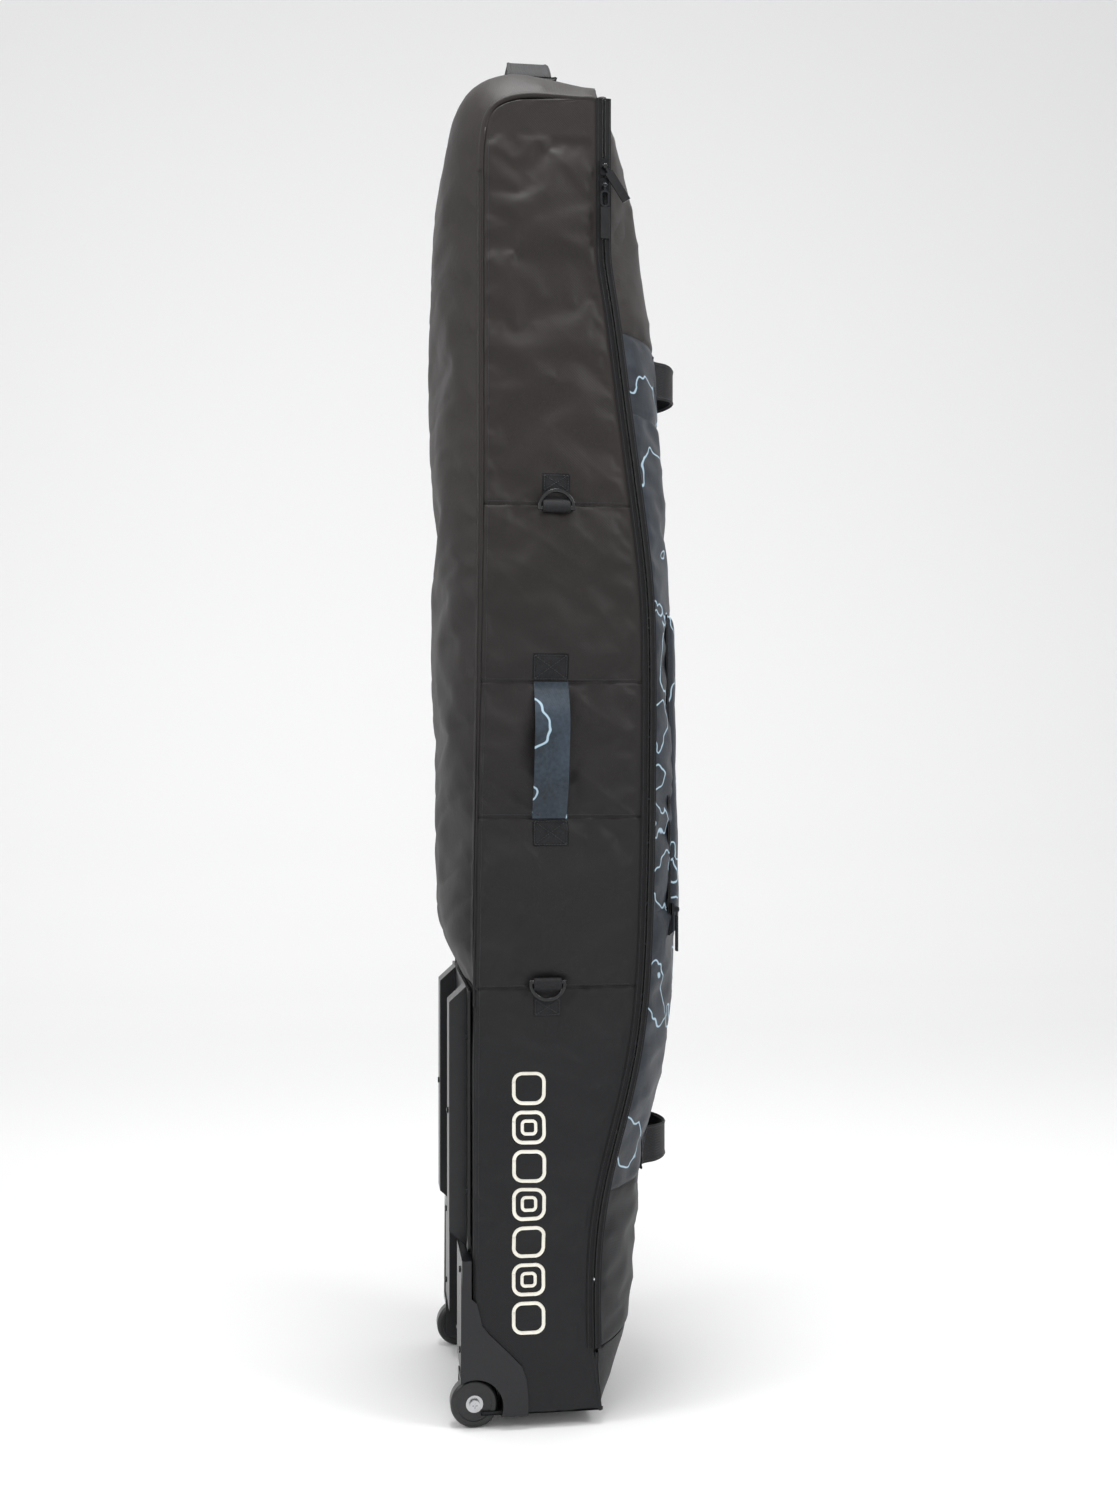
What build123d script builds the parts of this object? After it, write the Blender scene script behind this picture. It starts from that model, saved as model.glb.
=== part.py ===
"""Wheeled snowboard bag, standing on its wheels.

Millimetres, +Z up. The lid faces -Y, the wheels and the skid plate face +Y.
X = 0 is the middle of the bag and Z = 0 is the bottom of the wheels.
"""

import os

from build123d import *

# ---- driving dimensions -------------------------------------------------------------
body_stretch = 1.0  # length of the bag above its skid plate, as a share of the standard bag
stretch_from = 562.0  # top of the skid plate, where the stretching starts


def lift(z):
    """Height on this bag of a height on the standard bag."""
    return z if z < stretch_from else stretch_from + (z - stretch_from) * body_stretch


half_width = 170.0  # side panel's outer face from the middle
wall = 6.0  # padded side, base and back fabric
lid_wall = 5.0
skin_gap = 0.4  # air between pieces that lie on each other
dome_power = 2.6  # how square the lid's cross section is
back_power = 2.2  # how square the back's cross section is
back_flat = 80.0  # half width of the back's flat middle

base_height = 16.0  # underside of the base above the floor
base_front = -80.0
base_rear = 78.0
lid_low = 99.0  # where the zip crosses the front, under the lid
lid_high = lift(1712.0)  # top of the side zip
zip_gap = 1.8  # slit between the two halves of the zip
zip_straight = -80.0  # the zip's line near its top
zip_straight_low = lift(1500.0)
fold_line = -60.0  # vertical fold on the far side, that the lid turns about
seams = [lift(565.0), lift(784.0), lift(958.0), lift(1186.0)]  # cross seams of the side panels
print_low = 300.0
print_high = lift(1412.0)

tape_width = 12.0
lay_gap = 0.2  # air under the tape and under the coil
tape_thick = 1.2
coil_width = 2.2
coil_thick = 2.6

handle_thick = 3.0
side_handle_width = 45.0
side_handle_span = 174.0
side_handle_rise = 24.0
side_handle_y = -10.5
side_handle_z = lift(871.0)
front_handle_width = 52.0
front_handle_span = 116.0
front_handle_rise = 31.0
front_handle_thick = 5.0
front_handle_levels = {"upper": lift(1376.0), "lower": 332.0}
top_handle_width = 52.0
top_handle_span = 130.0
top_handle_rise = 46.0
top_handle_thick = 4.0
top_handle_y = 4.0
crown_height = lift(1764.0)  # highest line of the fabric

ring_inside = 38.0  # webbing that a D-ring takes
ring_wire = 5.0
ring_rounding = 1.6
ring_straight = 3.0  # straight legs before the bow
ring_play = 1.2  # air round the bar inside its webbing loop
loop_thick = 1.4
loop_air = 0.6  # between a loop and the side panel
ring_places = {"upper": (-18.0, lift(1181.0), 1), "lower": (-6.5, lift(574.0), -1)}  # y, z, bow up or down

wheel_radius = 31.0
wheel_width = 24.0
wheel_y = 86.0
wheel_x = 148.0
tyre_thick = 9.0
tyre_rounding = 5.0
hub_recess = 1.0  # hub's faces inside the tyre's
hub_lip = 1.5  # lip between the two bearings
bearing_outer = 11.0
bearing_inner = 4.0
bearing_width = 7.0
bearing_inset = 1.0
axle_clearance = 0.05
axle_head = 6.5
axle_head_thick = 4.0
axle_head_air = 0.4  # between the head and the wheel
cross_length = 7.0  # drive recess of the axle's head
cross_width = 1.6
cross_depth = 2.0
well_gap = 5.0  # air between the wheel and its housing
housing_wall = 3.0
housing_top = 219.0
housing_rear = 105.0
flange_thick = 2.4
foot_clearance = 2.0  # housings end above the base's underside
axle_boss = 10.0
wheel_air = 0.6  # between the wheel and the boss it turns against

plate_face = 91.0
plate_low = 223.0
plate_high = stretch_from
plate_thick = 3.0
plate_half_width = 152.0
piping_lift = 1.0
piping_thick = 4.0
piping_width = 4.5
piping_edge = 0.5  # from the side panel's face to the piping
board_corner = 8.0  # corner radius of the skid plate and the base board
runner_x = 100.0
runner_width = 40.0
runner_height = 22.0
runner_chamfer = 20.0
runner_wall = 3.0
screw_radius = 4.0
screw_head = 2.0

slider_length = 22.0
slider_width = 11.0
slider_plate = 1.6
slider_air = 0.9
slider_neck = 1.0
slider_top = lift(1621.0)
slider_places = {"upper": slider_top, "lower": slider_top - slider_length - 3.0}
bail_radius = 1.5
bail_stand = 3.7  # pin's middle above the slider's top plate
bail_clearance = 0.4
lug_gap = 4.4
lug_thick = 1.4
eye_radius = 3.5
eye_width = 3.4
eye_thick = 2.0  # strip between the eye and the pull
eye_overlap = 0.4  # how far the strip runs into both of them
pull_start = 9.0  # from the pin to the wide part of a pull
pull_reach = 52.0
pull_thick = 2.4
pull_width = 11.0
link_size = (12.0, 21.0)
link_corner = 5.0
link_wire = 2.4
tab_length = 41.0
tab_bar = 4.0  # thicker end of the tab

pocket_low = lift(625.0)
pocket_high = lift(1051.0)
pocket_half_width = 108.0
pocket_thick = 8.0
pocket_clear = 1.2
pocket_zip_x = -114.5
pocket_slider_z = pocket_low + 34.0
pocket_slider_stand = 6.5  # slider's middle in front of the lid
pocket_slider_size = (9.0, 3.0, 16.0)
pocket_lug = (1.4, 6.5, 6.0)
pocket_pull_length = 47.0

stiffener_thick = 4.0
stiffener_air = 4.0  # between the back's padding and its board
board_air = 6.0  # between the base board and the wheel wells
board_length = 140.0
stiffener_half = back_flat - 2.0
board_y = -2.0
strap_thick = 2.0
strap_width = 38.0
strap_levels = {"upper": lift(1150.0), "lower": lift(660.0)}
strap_length = 220.0
strap_air = 9.0  # between the straps and the back board
buckle_size = (62.0, 8.0, 46.0)
buckle_air = 0.6
buckle_corner = 8.0

# ---- outlines, each a list of (y, z) ------------------------------------------------
back_middle = [
    (88.0, base_height + wall), (88.0, 180.0), (88.0, 380.0), (88.0, 500.0), (88.5, 562.0),
    (97.0, lift(584.0)), (109.0, lift(608.0)), (116.0, lift(680.0)), (120.0, lift(940.0)),
    (121.0, lift(1220.0)), (122.0, lift(1497.0)), (120.0, lift(1609.0)), (112.0, lift(1683.0)),
    (86.0, lift(1744.0)), (48.0, crown_height), (-20.0, crown_height - 5.0),
    (-76.0, crown_height - 12.0),
]
back_seam = [
    (88.0, base_height + wall), (88.0, 180.0), (88.0, 380.0), (87.5, 500.0), (87.0, 562.0),
    (87.0, lift(584.0)), (86.5, lift(608.0)), (85.5, lift(680.0)), (80.0, lift(940.0)),
    (76.0, lift(1220.0)), (76.0, lift(1497.0)), (76.0, lift(1600.0)), (74.0, lift(1655.0)),
    (62.0, lift(1690.0)), (36.0, lift(1704.0)), (-20.0, lift(1709.0)), (-76.0, lid_high),
]
zip_curve = [
    (zip_straight, zip_straight_low), (-92.0, lift(1431.0)), (-103.0, lift(1347.0)),
    (-125.0, lift(1182.0)), (-137.0, lift(1074.0)), (-140.0, lift(953.0)), (-139.0, lift(804.0)),
    (-135.0, lift(631.0)), (-122.0, 483.0), (-103.0, 398.0), (-84.0, 325.0), (-71.0, 250.0),
    (-67.0, 180.0), (-68.0, lid_low),
]
lid_edge = [(zip_straight, lid_high), (zip_straight, lift(1620.0))] + zip_curve
lid_rim = [(y - lid_wall - skin_gap, z) for y, z in lid_edge]
lid_crest = [
    (-84.0, crown_height - 14.0), (-130.0, lift(1625.0)), (-154.0, lift(1500.0)),
    (-165.0, lift(1431.0)), (-173.0, lift(1347.0)), (-181.0, lift(1182.0)), (-186.0, lift(1074.0)),
    (-189.0, lift(953.0)), (-192.0, lift(804.0)), (-195.0, lift(631.0)), (-188.0, 500.0),
    (-173.0, 410.0), (-152.0, 318.0), (-143.0, 240.0), (-138.0, 175.0), (-132.0, lid_low),
]
boot_edge = [
    (-68.0, lid_low - 2.0), (-68.0, 76.0), (-70.0, 56.0), (-74.0, 36.0),
    (base_front + 4.0, base_height + wall),
]
boot_crest = [
    (-131.0, lid_low - 2.0), (-126.0, 76.0), (-117.0, 56.0), (-104.0, 36.0),
    (base_front - 4.0, base_height + wall),
]


def inset(points, depth):
    """The same outline, moved inwards by depth."""
    moved = []
    for i, (y, z) in enumerate(points):
        before = points[max(i - 1, 0)]
        after = points[min(i + 1, len(points) - 1)]
        along = Vector(after[0] - before[0], after[1] - before[1]).normalized()
        moved.append((y - along.Y * depth, z + along.X * depth))
    return moved


def blend(first, second, share):
    return [
        (a[0] + (b[0] - a[0]) * share, a[1] + (b[1] - a[1]) * share)
        for a, b in zip(first, second)
    ]


def dome_share(x):
    """0 at the crest of the lid and 1 at its edges."""
    return abs(x / half_width) ** dome_power


def back_share(x):
    """0 across the back's flat middle and 1 at the side seams."""
    return max(0.0, (abs(x) - back_flat) / (half_width - back_flat)) ** back_power


def height_at(points, z):
    """y of an outline at the height z."""
    for a, b in zip(points, points[1:]):
        if min(a[1], b[1]) <= z <= max(a[1], b[1]) and a[1] != b[1]:
            return a[0] + (b[0] - a[0]) * (z - a[1]) / (b[1] - a[1])
    return points[-1][0]


def lid_face(x, z):
    """y of the lid's outer face."""
    edge = height_at(lid_rim, z)
    crest = height_at(lid_crest, z)
    return crest + (edge - crest) * dome_share(x)


def band(x, outer, inner):
    """Closed strip of fabric in the plane at x, between two outlines."""
    with BuildSketch(Plane.YZ.offset(x)) as strip:
        with BuildLine():
            Spline(*outer)
            Line(outer[-1], inner[-1])
            Spline(*inner)
            Line(inner[0], outer[0])
        make_face()
    return strip.sketch


def finish(part, name):
    part.label = name
    export_step(part, f"parts/{name}.step")


os.makedirs("parts", exist_ok=True)
sides = {"left": -1, "right": 1}
inner_face = half_width - wall
dome_edge = half_width - 4.0
dome_middle = [-150, -120, -65, 0, 65, 120, 150]
dome_stations = [-dome_edge, *dome_middle, dome_edge]
boot_stations = [-inner_face + skin_gap, *dome_middle, inner_face - skin_gap]

# ---- fabric body --------------------------------------------------------------------
back_stations = [-inner_face + skin_gap, -145, -120, -95, 0, 95, 120, 145, inner_face - skin_gap]
with BuildPart() as back_panel:
    outlines = [blend(back_middle, back_seam, back_share(x)) for x in back_stations]
    loft([band(x, line, inset(line, wall)) for x, line in zip(back_stations, outlines)])
    with BuildSketch(Plane.XZ.offset(-wheel_y)):
        for side in sides.values():
            with Locations((side * half_width, 0)):
                Rectangle(2 * (half_width - wheel_x) + wheel_width + 2 * well_gap + 8, 160)
    extrude(amount=30, both=True, mode=Mode.SUBTRACT)
finish(back_panel.part, "back_panel")

well_inner = wheel_x - wheel_width / 2 - well_gap  # inner side of the wheel's well
well_front = wheel_y - wheel_radius - well_gap - housing_wall - skin_gap
well_top = wheel_radius * 2 + well_gap + housing_wall + skin_gap


def side_outline(x, edge_shift):
    """Whole side panel in the plane at x, stopping edge_shift behind the zip's line."""
    with BuildSketch(Plane.YZ.offset(x)) as outline:
        with BuildLine():
            top = (zip_straight + edge_shift, lid_high)
            bend = (zip_straight + edge_shift, zip_straight_low)
            rear = Spline(*back_seam[:-1], top)
            Line(top, bend)
            front = Spline(*[(y + edge_shift, z) for y, z in zip_curve])
            boot = Spline(*boot_edge)
            Line(front @ 1, boot @ 0)
            Line(boot @ 1, rear @ 0)
        make_face()
    return outline.sketch


panel_shift = slider_width / 2 + 2.0  # the panel's edge stays clear of the zip's sliders
tall = 4000.0  # longer than the bag, for cutting boxes


def side_section(side, low, high):
    """Flat length of a side panel between two heights."""
    with BuildPart() as section:
        extrude(side_outline(side * inner_face, panel_shift), amount=wall, dir=(side, 0, 0))
        with Locations((side * half_width, 0, (low + high) / 2)):
            Box(tall, tall, high - low, mode=Mode.INTERSECT)
        if low < well_top:
            with Locations((side * half_width, well_front, low)):
                Box(
                    tall, tall, well_top - low,
                    align=(Align.CENTER, Align.MIN, Align.MIN), mode=Mode.SUBTRACT,
                )
        if side > 0:
            with Locations((side * half_width, fold_line + skin_gap, lid_low - 1)):
                Box(
                    tall, tall, tall,
                    align=(Align.CENTER, Align.MAX, Align.MIN), mode=Mode.SUBTRACT,
                )
    return section.part


section_names = ["boot", "lower", "middle", "upper", "crown"]
section_edges = [base_height + wall] + seams + [lid_high + 40]
for side_name, side in sides.items():
    for i, section_name in enumerate(section_names):
        low = section_edges[i]
        high = section_edges[i + 1]
        finish(side_section(side, low, high), f"side_{side_name}_{section_name}")

with BuildPart() as boot_front:
    outlines = [blend(boot_crest, boot_edge, dome_share(x)) for x in boot_stations]
    loft([band(x, line, inset(line, wall)) for x, line in zip(boot_stations, outlines)])
finish(boot_front.part, "boot_front")

with BuildPart() as base_panel:
    with BuildSketch(Plane.XY.offset(base_height)):
        with BuildLine():
            Polyline(
                (-inner_face, base_front), (inner_face, base_front), (inner_face, well_front),
                (well_inner - housing_wall - skin_gap, well_front),
                (well_inner - housing_wall - skin_gap, base_rear),
                (-well_inner + housing_wall + skin_gap, base_rear),
                (-well_inner + housing_wall + skin_gap, well_front), (-inner_face, well_front),
                close=True,
            )
        make_face()
    extrude(amount=wall - skin_gap)
finish(base_panel.part, "base_panel")

# ---- lid ----------------------------------------------------------------------------


def lid_panel(low, high):
    """Domed length of the lid between two heights."""
    with BuildPart() as panel:
        outlines = [blend(lid_crest, lid_rim, dome_share(x)) for x in dome_stations]
        loft([band(x, line, inset(line, lid_wall)) for x, line in zip(dome_stations, outlines)])
        if low > lid_low:
            split(bisect_by=Plane.XY.offset(low), keep=Keep.TOP)
        if high < lid_high:
            split(bisect_by=Plane.XY.offset(high), keep=Keep.BOTTOM)
    return panel.part


finish(lid_panel(lid_low, print_low), "lid_toe_panel")
finish(lid_panel(print_low, print_high), "lid_print_panel")
finish(lid_panel(print_high, lid_high), "lid_crown_panel")

with BuildPart() as lid_side_return:
    extrude(side_outline(inner_face, 0.0), amount=wall, dir=(1, 0, 0))
    with Locations((half_width, fold_line - skin_gap, lid_low)):
        Box(
            tall, tall, tall, align=(Align.CENTER, Align.MAX, Align.MIN), mode=Mode.INTERSECT
        )
finish(lid_side_return.part, "lid_side_return")

# ---- main zip, on the left side -----------------------------------------------------
tape_face = half_width + lay_gap  # tape's inner face from the middle
coil_face = tape_face + tape_thick + lay_gap
coil_top = coil_face + coil_thick


def zip_strip(near, far, inner, thick):
    """Strip along the left zip, between two distances from its line."""
    with BuildPart() as strip:
        with BuildSketch(Plane.YZ.offset(-inner)):
            with BuildLine():
                for shift in (near, far):
                    Line((zip_straight + shift, lid_high), (zip_straight + shift, zip_straight_low))
                    Spline(*[(y + shift, z) for y, z in zip_curve])
                Line((zip_straight + near, lid_high), (zip_straight + far, lid_high))
                end_y, end_z = zip_curve[-1]
                Line((end_y + near, end_z), (end_y + far, end_z))
            make_face()
        extrude(amount=-thick)
    return strip.part


half_gap = zip_gap / 2
zip_sides = {"shell": 1, "lid": -1}
for owner, way in zip_sides.items():
    tape = zip_strip(way * half_gap, way * (half_gap + tape_width), tape_face, tape_thick)
    finish(tape, f"zip_tape_{owner}")
    coil = zip_strip(way * half_gap, way * (half_gap + coil_width), coil_face, coil_thick)
    finish(coil, f"zip_coil_{owner}")

plate_out = coil_top + slider_air
plate_in = tape_face - slider_air
pin_x = plate_out + slider_plate + bail_stand


def zip_slider(z):
    """Slider body: two plates, the neck between them, and the lugs and pin of its pull."""
    with BuildPart() as slider:
        for low_x in (plate_in - slider_plate, plate_out):
            with BuildSketch(Plane.YZ.offset(-low_x)):
                with Locations((zip_straight, z)):
                    RectangleRounded(slider_width, slider_length, 3.0)
            extrude(amount=-slider_plate)
        with Locations((-(plate_in + plate_out) / 2, zip_straight, z + slider_length / 2 - 4)):
            Box(plate_out - plate_in + 0.4, slider_neck, 4.0)
        for way in (-1, 1):
            with Locations((-(plate_out + pin_x) / 2, zip_straight + way * (lug_gap + lug_thick) / 2, z)):
                Box(pin_x - plate_out, lug_thick, 2 * bail_radius)
        with Locations(Location((-pin_x, zip_straight, z), (90, 0, 0))):
            Cylinder(bail_radius, lug_gap + 2 * lug_thick)
    return slider.part


def pull_eye(z):
    """Eye of a pull, round its pin."""
    with BuildPart() as eye:
        with Locations(Location((-pin_x, zip_straight, z), (90, 0, 0))):
            Cylinder(eye_radius, eye_width)
            Cylinder(bail_radius + bail_clearance, eye_width, mode=Mode.SUBTRACT)
    return eye.part


for level, z in slider_places.items():
    finish(zip_slider(z), f"zip_slider_{level}")

pull_lean = 33.0  # the upper pull hangs across, clear of the lower slider
with BuildPart() as zip_pull_upper:
    add(pull_eye(slider_places["upper"]))
    upper_pin = Location((-pin_x, zip_straight, slider_places["upper"]), (-pull_lean, 0, 0))
    with Locations(upper_pin * Location((0, 0, -(eye_radius + pull_start) / 2))):
        Box(eye_thick, eye_width, pull_start - eye_radius + eye_overlap)
    with Locations(upper_pin * Location((0, 0, -(pull_start + pull_reach) / 2))):
        Box(pull_thick, pull_width, pull_reach - pull_start)
finish(zip_pull_upper.part, "zip_pull_upper")

link_top = slider_places["lower"] - eye_radius - 3.0  # metal link between the eye and the tab
link_middle = link_top - link_size[1] / 2
tab_top = link_top - link_size[1] - lay_gap
with BuildPart() as zip_ring_lower:
    add(pull_eye(slider_places["lower"]))
    with Locations((-pin_x, zip_straight, slider_places["lower"] - eye_radius - 1.5)):
        Box(eye_thick, eye_width, 3.0 + 2 * eye_overlap)
    with BuildSketch(Plane.YZ.offset(-pin_x - eye_thick / 2)):
        with Locations((zip_straight, link_middle)):
            RectangleRounded(*link_size, link_corner)
            RectangleRounded(
                link_size[0] - 2 * link_wire, link_size[1] - 2 * link_wire, link_corner - link_wire,
                mode=Mode.SUBTRACT,
            )
    extrude(amount=eye_thick)
finish(zip_ring_lower.part, "zip_ring_lower")

with BuildPart() as zip_tab_lower:
    with Locations((-pin_x, zip_straight, tab_top - tab_length / 2)):
        Box(pull_thick, pull_width, tab_length)
    with Locations((-pin_x, zip_straight, tab_top - tab_length + tab_bar / 2)):
        Box(tab_bar, pull_width, tab_bar)
finish(zip_tab_lower.part, "zip_tab_lower")

# ---- carrying handles ---------------------------------------------------------------


def handle(plane, span, rise, thick, width):
    """Webbing bowed out from a surface, on feet that lie on it."""
    with BuildPart() as strap:
        with BuildSketch(plane):
            with BuildLine():
                ThreePointArc((-span / 2, 0), (0, rise), (span / 2, 0))
                ThreePointArc((thick - span / 2, 0), (0, rise - thick), (span / 2 - thick, 0))
                Line((-span / 2, 0), (thick - span / 2, 0))
                Line((span / 2, 0), (span / 2 - thick, 0))
            make_face()
        extrude(amount=width / 2, both=True)
    return strap.part


for side_name, side in sides.items():
    root = (side * (half_width + skin_gap), side_handle_y, side_handle_z)
    side_plane = Plane(origin=root, x_dir=(0, 0, 1), z_dir=(0, side, 0))
    strap = handle(
        side_plane, side_handle_span, side_handle_rise, handle_thick, side_handle_width
    )
    finish(strap, f"side_handle_{side_name}")

for level, z in front_handle_levels.items():
    foot = front_handle_span / 2
    ends = [z - front_handle_width / 2, z + front_handle_width / 2]
    skin = min(lid_face(x, end) for end in ends for x in (0, foot))
    front_plane = Plane(origin=(0, skin - 1.0, z), x_dir=(1, 0, 0), z_dir=(0, 0, -1))
    strap = handle(
        front_plane, front_handle_span, front_handle_rise, front_handle_thick, front_handle_width
    )
    finish(strap, f"front_handle_{level}")

top_plane = Plane(
    origin=(0, top_handle_y, crown_height + 5.0), x_dir=(1, 0, 0), z_dir=(0, -1, 0)
)
top_strap = handle(
    top_plane, top_handle_span, top_handle_rise, top_handle_thick, top_handle_width
)
finish(top_strap, "top_handle")

# ---- D-rings and their webbing loops ------------------------------------------------
ring_radius = ring_inside / 2 + ring_wire
loop_inner = ring_wire * 0.75 + ring_play / 2
ring_x = half_width + loop_air + loop_inner + loop_thick
loop_width = ring_inside - 2.0
loop_tail = 14.0
ring_bow = ring_radius * 0.82  # how far the bow stands out from the legs
leg = ring_straight + ring_wire / 2


def d_ring(side, y, z, up):
    with BuildPart() as ring:
        with BuildSketch(Plane(origin=(side * ring_x, y, z), x_dir=(0, 1, 0), z_dir=(1, 0, 0))):
            for reach, bow in ((ring_radius, ring_bow), (ring_radius - ring_wire, ring_bow - ring_wire)):
                foot = up * (ring_radius - reach - ring_wire / 2)
                with BuildLine():
                    Polyline((-reach, leg * up), (-reach, foot), (reach, foot), (reach, leg * up))
                    ThreePointArc((reach, leg * up), (0, (leg + bow) * up), (-reach, leg * up))
                make_face(mode=Mode.ADD if reach == ring_radius else Mode.SUBTRACT)
        extrude(amount=ring_wire / 2, both=True)
        fillet(ring.edges().filter_by(Axis.X, reverse=True), ring_rounding)
    return ring.part


with BuildPart() as d_ring_loops:
    for side in sides.values():
        for y, z, up in ring_places.values():
            with Locations(Location((side * ring_x, y, z), (90, 0, 0))):
                Cylinder(loop_inner + loop_thick, loop_width)
            tail_x = side * (half_width + loop_air + loop_thick / 2)
            with Locations((tail_x, y, z - up * loop_tail / 2)):
                Box(loop_thick, loop_width, loop_tail)
    for side in sides.values():
        for y, z, up in ring_places.values():
            with Locations(Location((side * ring_x, y, z), (90, 0, 0))):
                Cylinder(loop_inner, loop_width, mode=Mode.SUBTRACT)
finish(d_ring_loops.part, "d_ring_loops")

for side_name, side in sides.items():
    for level, (y, z, up) in ring_places.items():
        finish(d_ring(side, y, z, up), f"d_ring_{level}_{side_name}")

# ---- wheels -------------------------------------------------------------------------
rim_radius = wheel_radius - tyre_thick
for side_name, side in sides.items():
    wheel_plane = Plane(origin=(side * wheel_x, wheel_y, wheel_radius), z_dir=(side, 0, 0))
    with BuildPart() as tyre:
        with BuildSketch(wheel_plane):
            Circle(wheel_radius)
            Circle(rim_radius, mode=Mode.SUBTRACT)
        extrude(amount=wheel_width / 2, both=True)
        outer_edges = tyre.edges().filter_by(GeomType.CIRCLE).sort_by(lambda e: e.radius)[-2:]
        fillet(outer_edges, tyre_rounding)
    finish(tyre.part, f"tyre_{side_name}")
    seat = wheel_width / 2 - bearing_inset
    with BuildPart() as hub:
        with BuildSketch(wheel_plane):
            Circle(rim_radius)
            Circle(bearing_outer - hub_lip, mode=Mode.SUBTRACT)
        extrude(amount=wheel_width / 2 - hub_recess, both=True)
        for way in (-1, 1):
            with BuildSketch(wheel_plane.offset(way * (seat - bearing_width))):
                Circle(bearing_outer)
            extrude(amount=way * (bearing_width + bearing_inset), mode=Mode.SUBTRACT)
    finish(hub.part, f"wheel_hub_{side_name}")
    with BuildPart() as bearings:
        for way in (-1, 1):
            with BuildSketch(wheel_plane.offset(way * (seat - bearing_width))):
                Circle(bearing_outer)
                Circle(bearing_inner + axle_clearance, mode=Mode.SUBTRACT)
            extrude(amount=way * bearing_width)
    finish(bearings.part, f"wheel_bearings_{side_name}")

with BuildPart() as axle_bolts:
    for side in sides.values():
        wheel_plane = Plane(origin=(side * wheel_x, wheel_y, wheel_radius), z_dir=(side, 0, 0))
        with BuildSketch(wheel_plane.offset(-(wheel_width / 2 + well_gap + housing_wall))):
            Circle(bearing_inner)
        extrude(amount=wheel_width + well_gap + housing_wall + axle_head_air)
        with BuildSketch(wheel_plane.offset(wheel_width / 2 + axle_head_air)):
            Circle(axle_head)
        extrude(amount=axle_head_thick)
        with BuildSketch(wheel_plane.offset(wheel_width / 2 + axle_head_air + axle_head_thick)):
            Rectangle(cross_length, cross_width)
            Rectangle(cross_width, cross_length)
        extrude(amount=-cross_depth, mode=Mode.SUBTRACT)
finish(axle_bolts.part, "axle_bolts")

# ---- wheel housings -----------------------------------------------------------------
flange_outline = [
    (104.0, housing_top), (103.0, 182.0), (94.0, 173.0), (84.0, 164.0), (80.0, 148.0),
    (77.0, 135.0), (68.0, 124.0), (41.0, 97.0), (26.0, 81.0), (20.0, 63.0), (18.0, 39.0),
    (18.0, base_height + foot_clearance), (50.0, base_height + foot_clearance),
]
housing_out = half_width + skin_gap + flange_thick
housing_low = base_height + foot_clearance
for side_name, side in sides.items():
    with BuildPart() as housing:
        with BuildSketch(Plane.YZ.offset(side * (half_width + skin_gap))):
            with BuildLine():
                Polyline(*flange_outline)
                Line(flange_outline[-1], (housing_rear, housing_low))
                Line((housing_rear, housing_low), flange_outline[0])
            make_face()
        extrude(amount=side * flange_thick)
        with Locations((side * (well_inner - housing_wall), well_front + skin_gap, housing_low)):
            Box(
                housing_out - well_inner + housing_wall, housing_rear - well_front - skin_gap,
                well_top - skin_gap - housing_low,
                align=(Align.MIN if side > 0 else Align.MAX, Align.MIN, Align.MIN),
            )
        with Locations((side * (runner_x - runner_width / 2), plate_face, well_top - skin_gap)):
            Box(
                housing_out - runner_x + runner_width / 2, housing_rear - plate_face - screw_head,
                housing_top - well_top + skin_gap,
                align=(Align.MIN if side > 0 else Align.MAX, Align.MIN, Align.MIN),
            )
        axle_plane = Plane(
            origin=(side * (wheel_x - wheel_width / 2), wheel_y, wheel_radius), z_dir=(side, 0, 0)
        )
        with BuildSketch(axle_plane.offset(-well_gap)):
            Circle(wheel_radius + well_gap)
        extrude(amount=half_width, mode=Mode.SUBTRACT)
        with BuildSketch(axle_plane.offset(-well_gap)):
            Circle(axle_boss)
        extrude(amount=well_gap - wheel_air)
        with BuildSketch(axle_plane.offset(-well_gap - housing_wall)):
            Circle(bearing_inner + axle_clearance)
        extrude(amount=well_gap + housing_wall, mode=Mode.SUBTRACT)
    finish(housing.part, f"wheel_housing_{side_name}")

# ---- skid plate ---------------------------------------------------------------------
runner_foot = plate_face + plate_thick + lay_gap
with BuildPart() as skid_plate:
    with BuildSketch(Plane.XZ.offset(-plate_face)):
        with Locations((0, (plate_low + plate_high) / 2)):
            RectangleRounded(2 * plate_half_width, plate_high - plate_low, board_corner)
    extrude(amount=-plate_thick)
finish(skid_plate.part, "skid_plate")

for side_name, side in sides.items():
    with BuildPart() as runner:
        with BuildSketch(Plane.YZ.offset(side * runner_x)):
            with BuildLine():
                Polyline(
                    (runner_foot, plate_low), (runner_foot + runner_height, plate_low + runner_chamfer),
                    (runner_foot + runner_height, plate_high - runner_chamfer),
                    (runner_foot, plate_high), close=True,
                )
            make_face()
        extrude(amount=runner_width / 2, both=True)
        with BuildSketch(Plane.YZ.offset(side * runner_x)):
            with BuildLine():
                Polyline(
                    (runner_foot, plate_low + 2 * runner_wall),
                    (runner_foot + runner_height - runner_wall, plate_low + runner_chamfer + runner_wall),
                    (runner_foot + runner_height - runner_wall, plate_high - runner_chamfer - runner_wall),
                    (runner_foot, plate_high - 2 * runner_wall), close=True,
                )
            make_face()
        extrude(amount=runner_width / 2 - runner_wall, both=True, mode=Mode.SUBTRACT)
    finish(runner.part, f"skid_runner_{side_name}")

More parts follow.
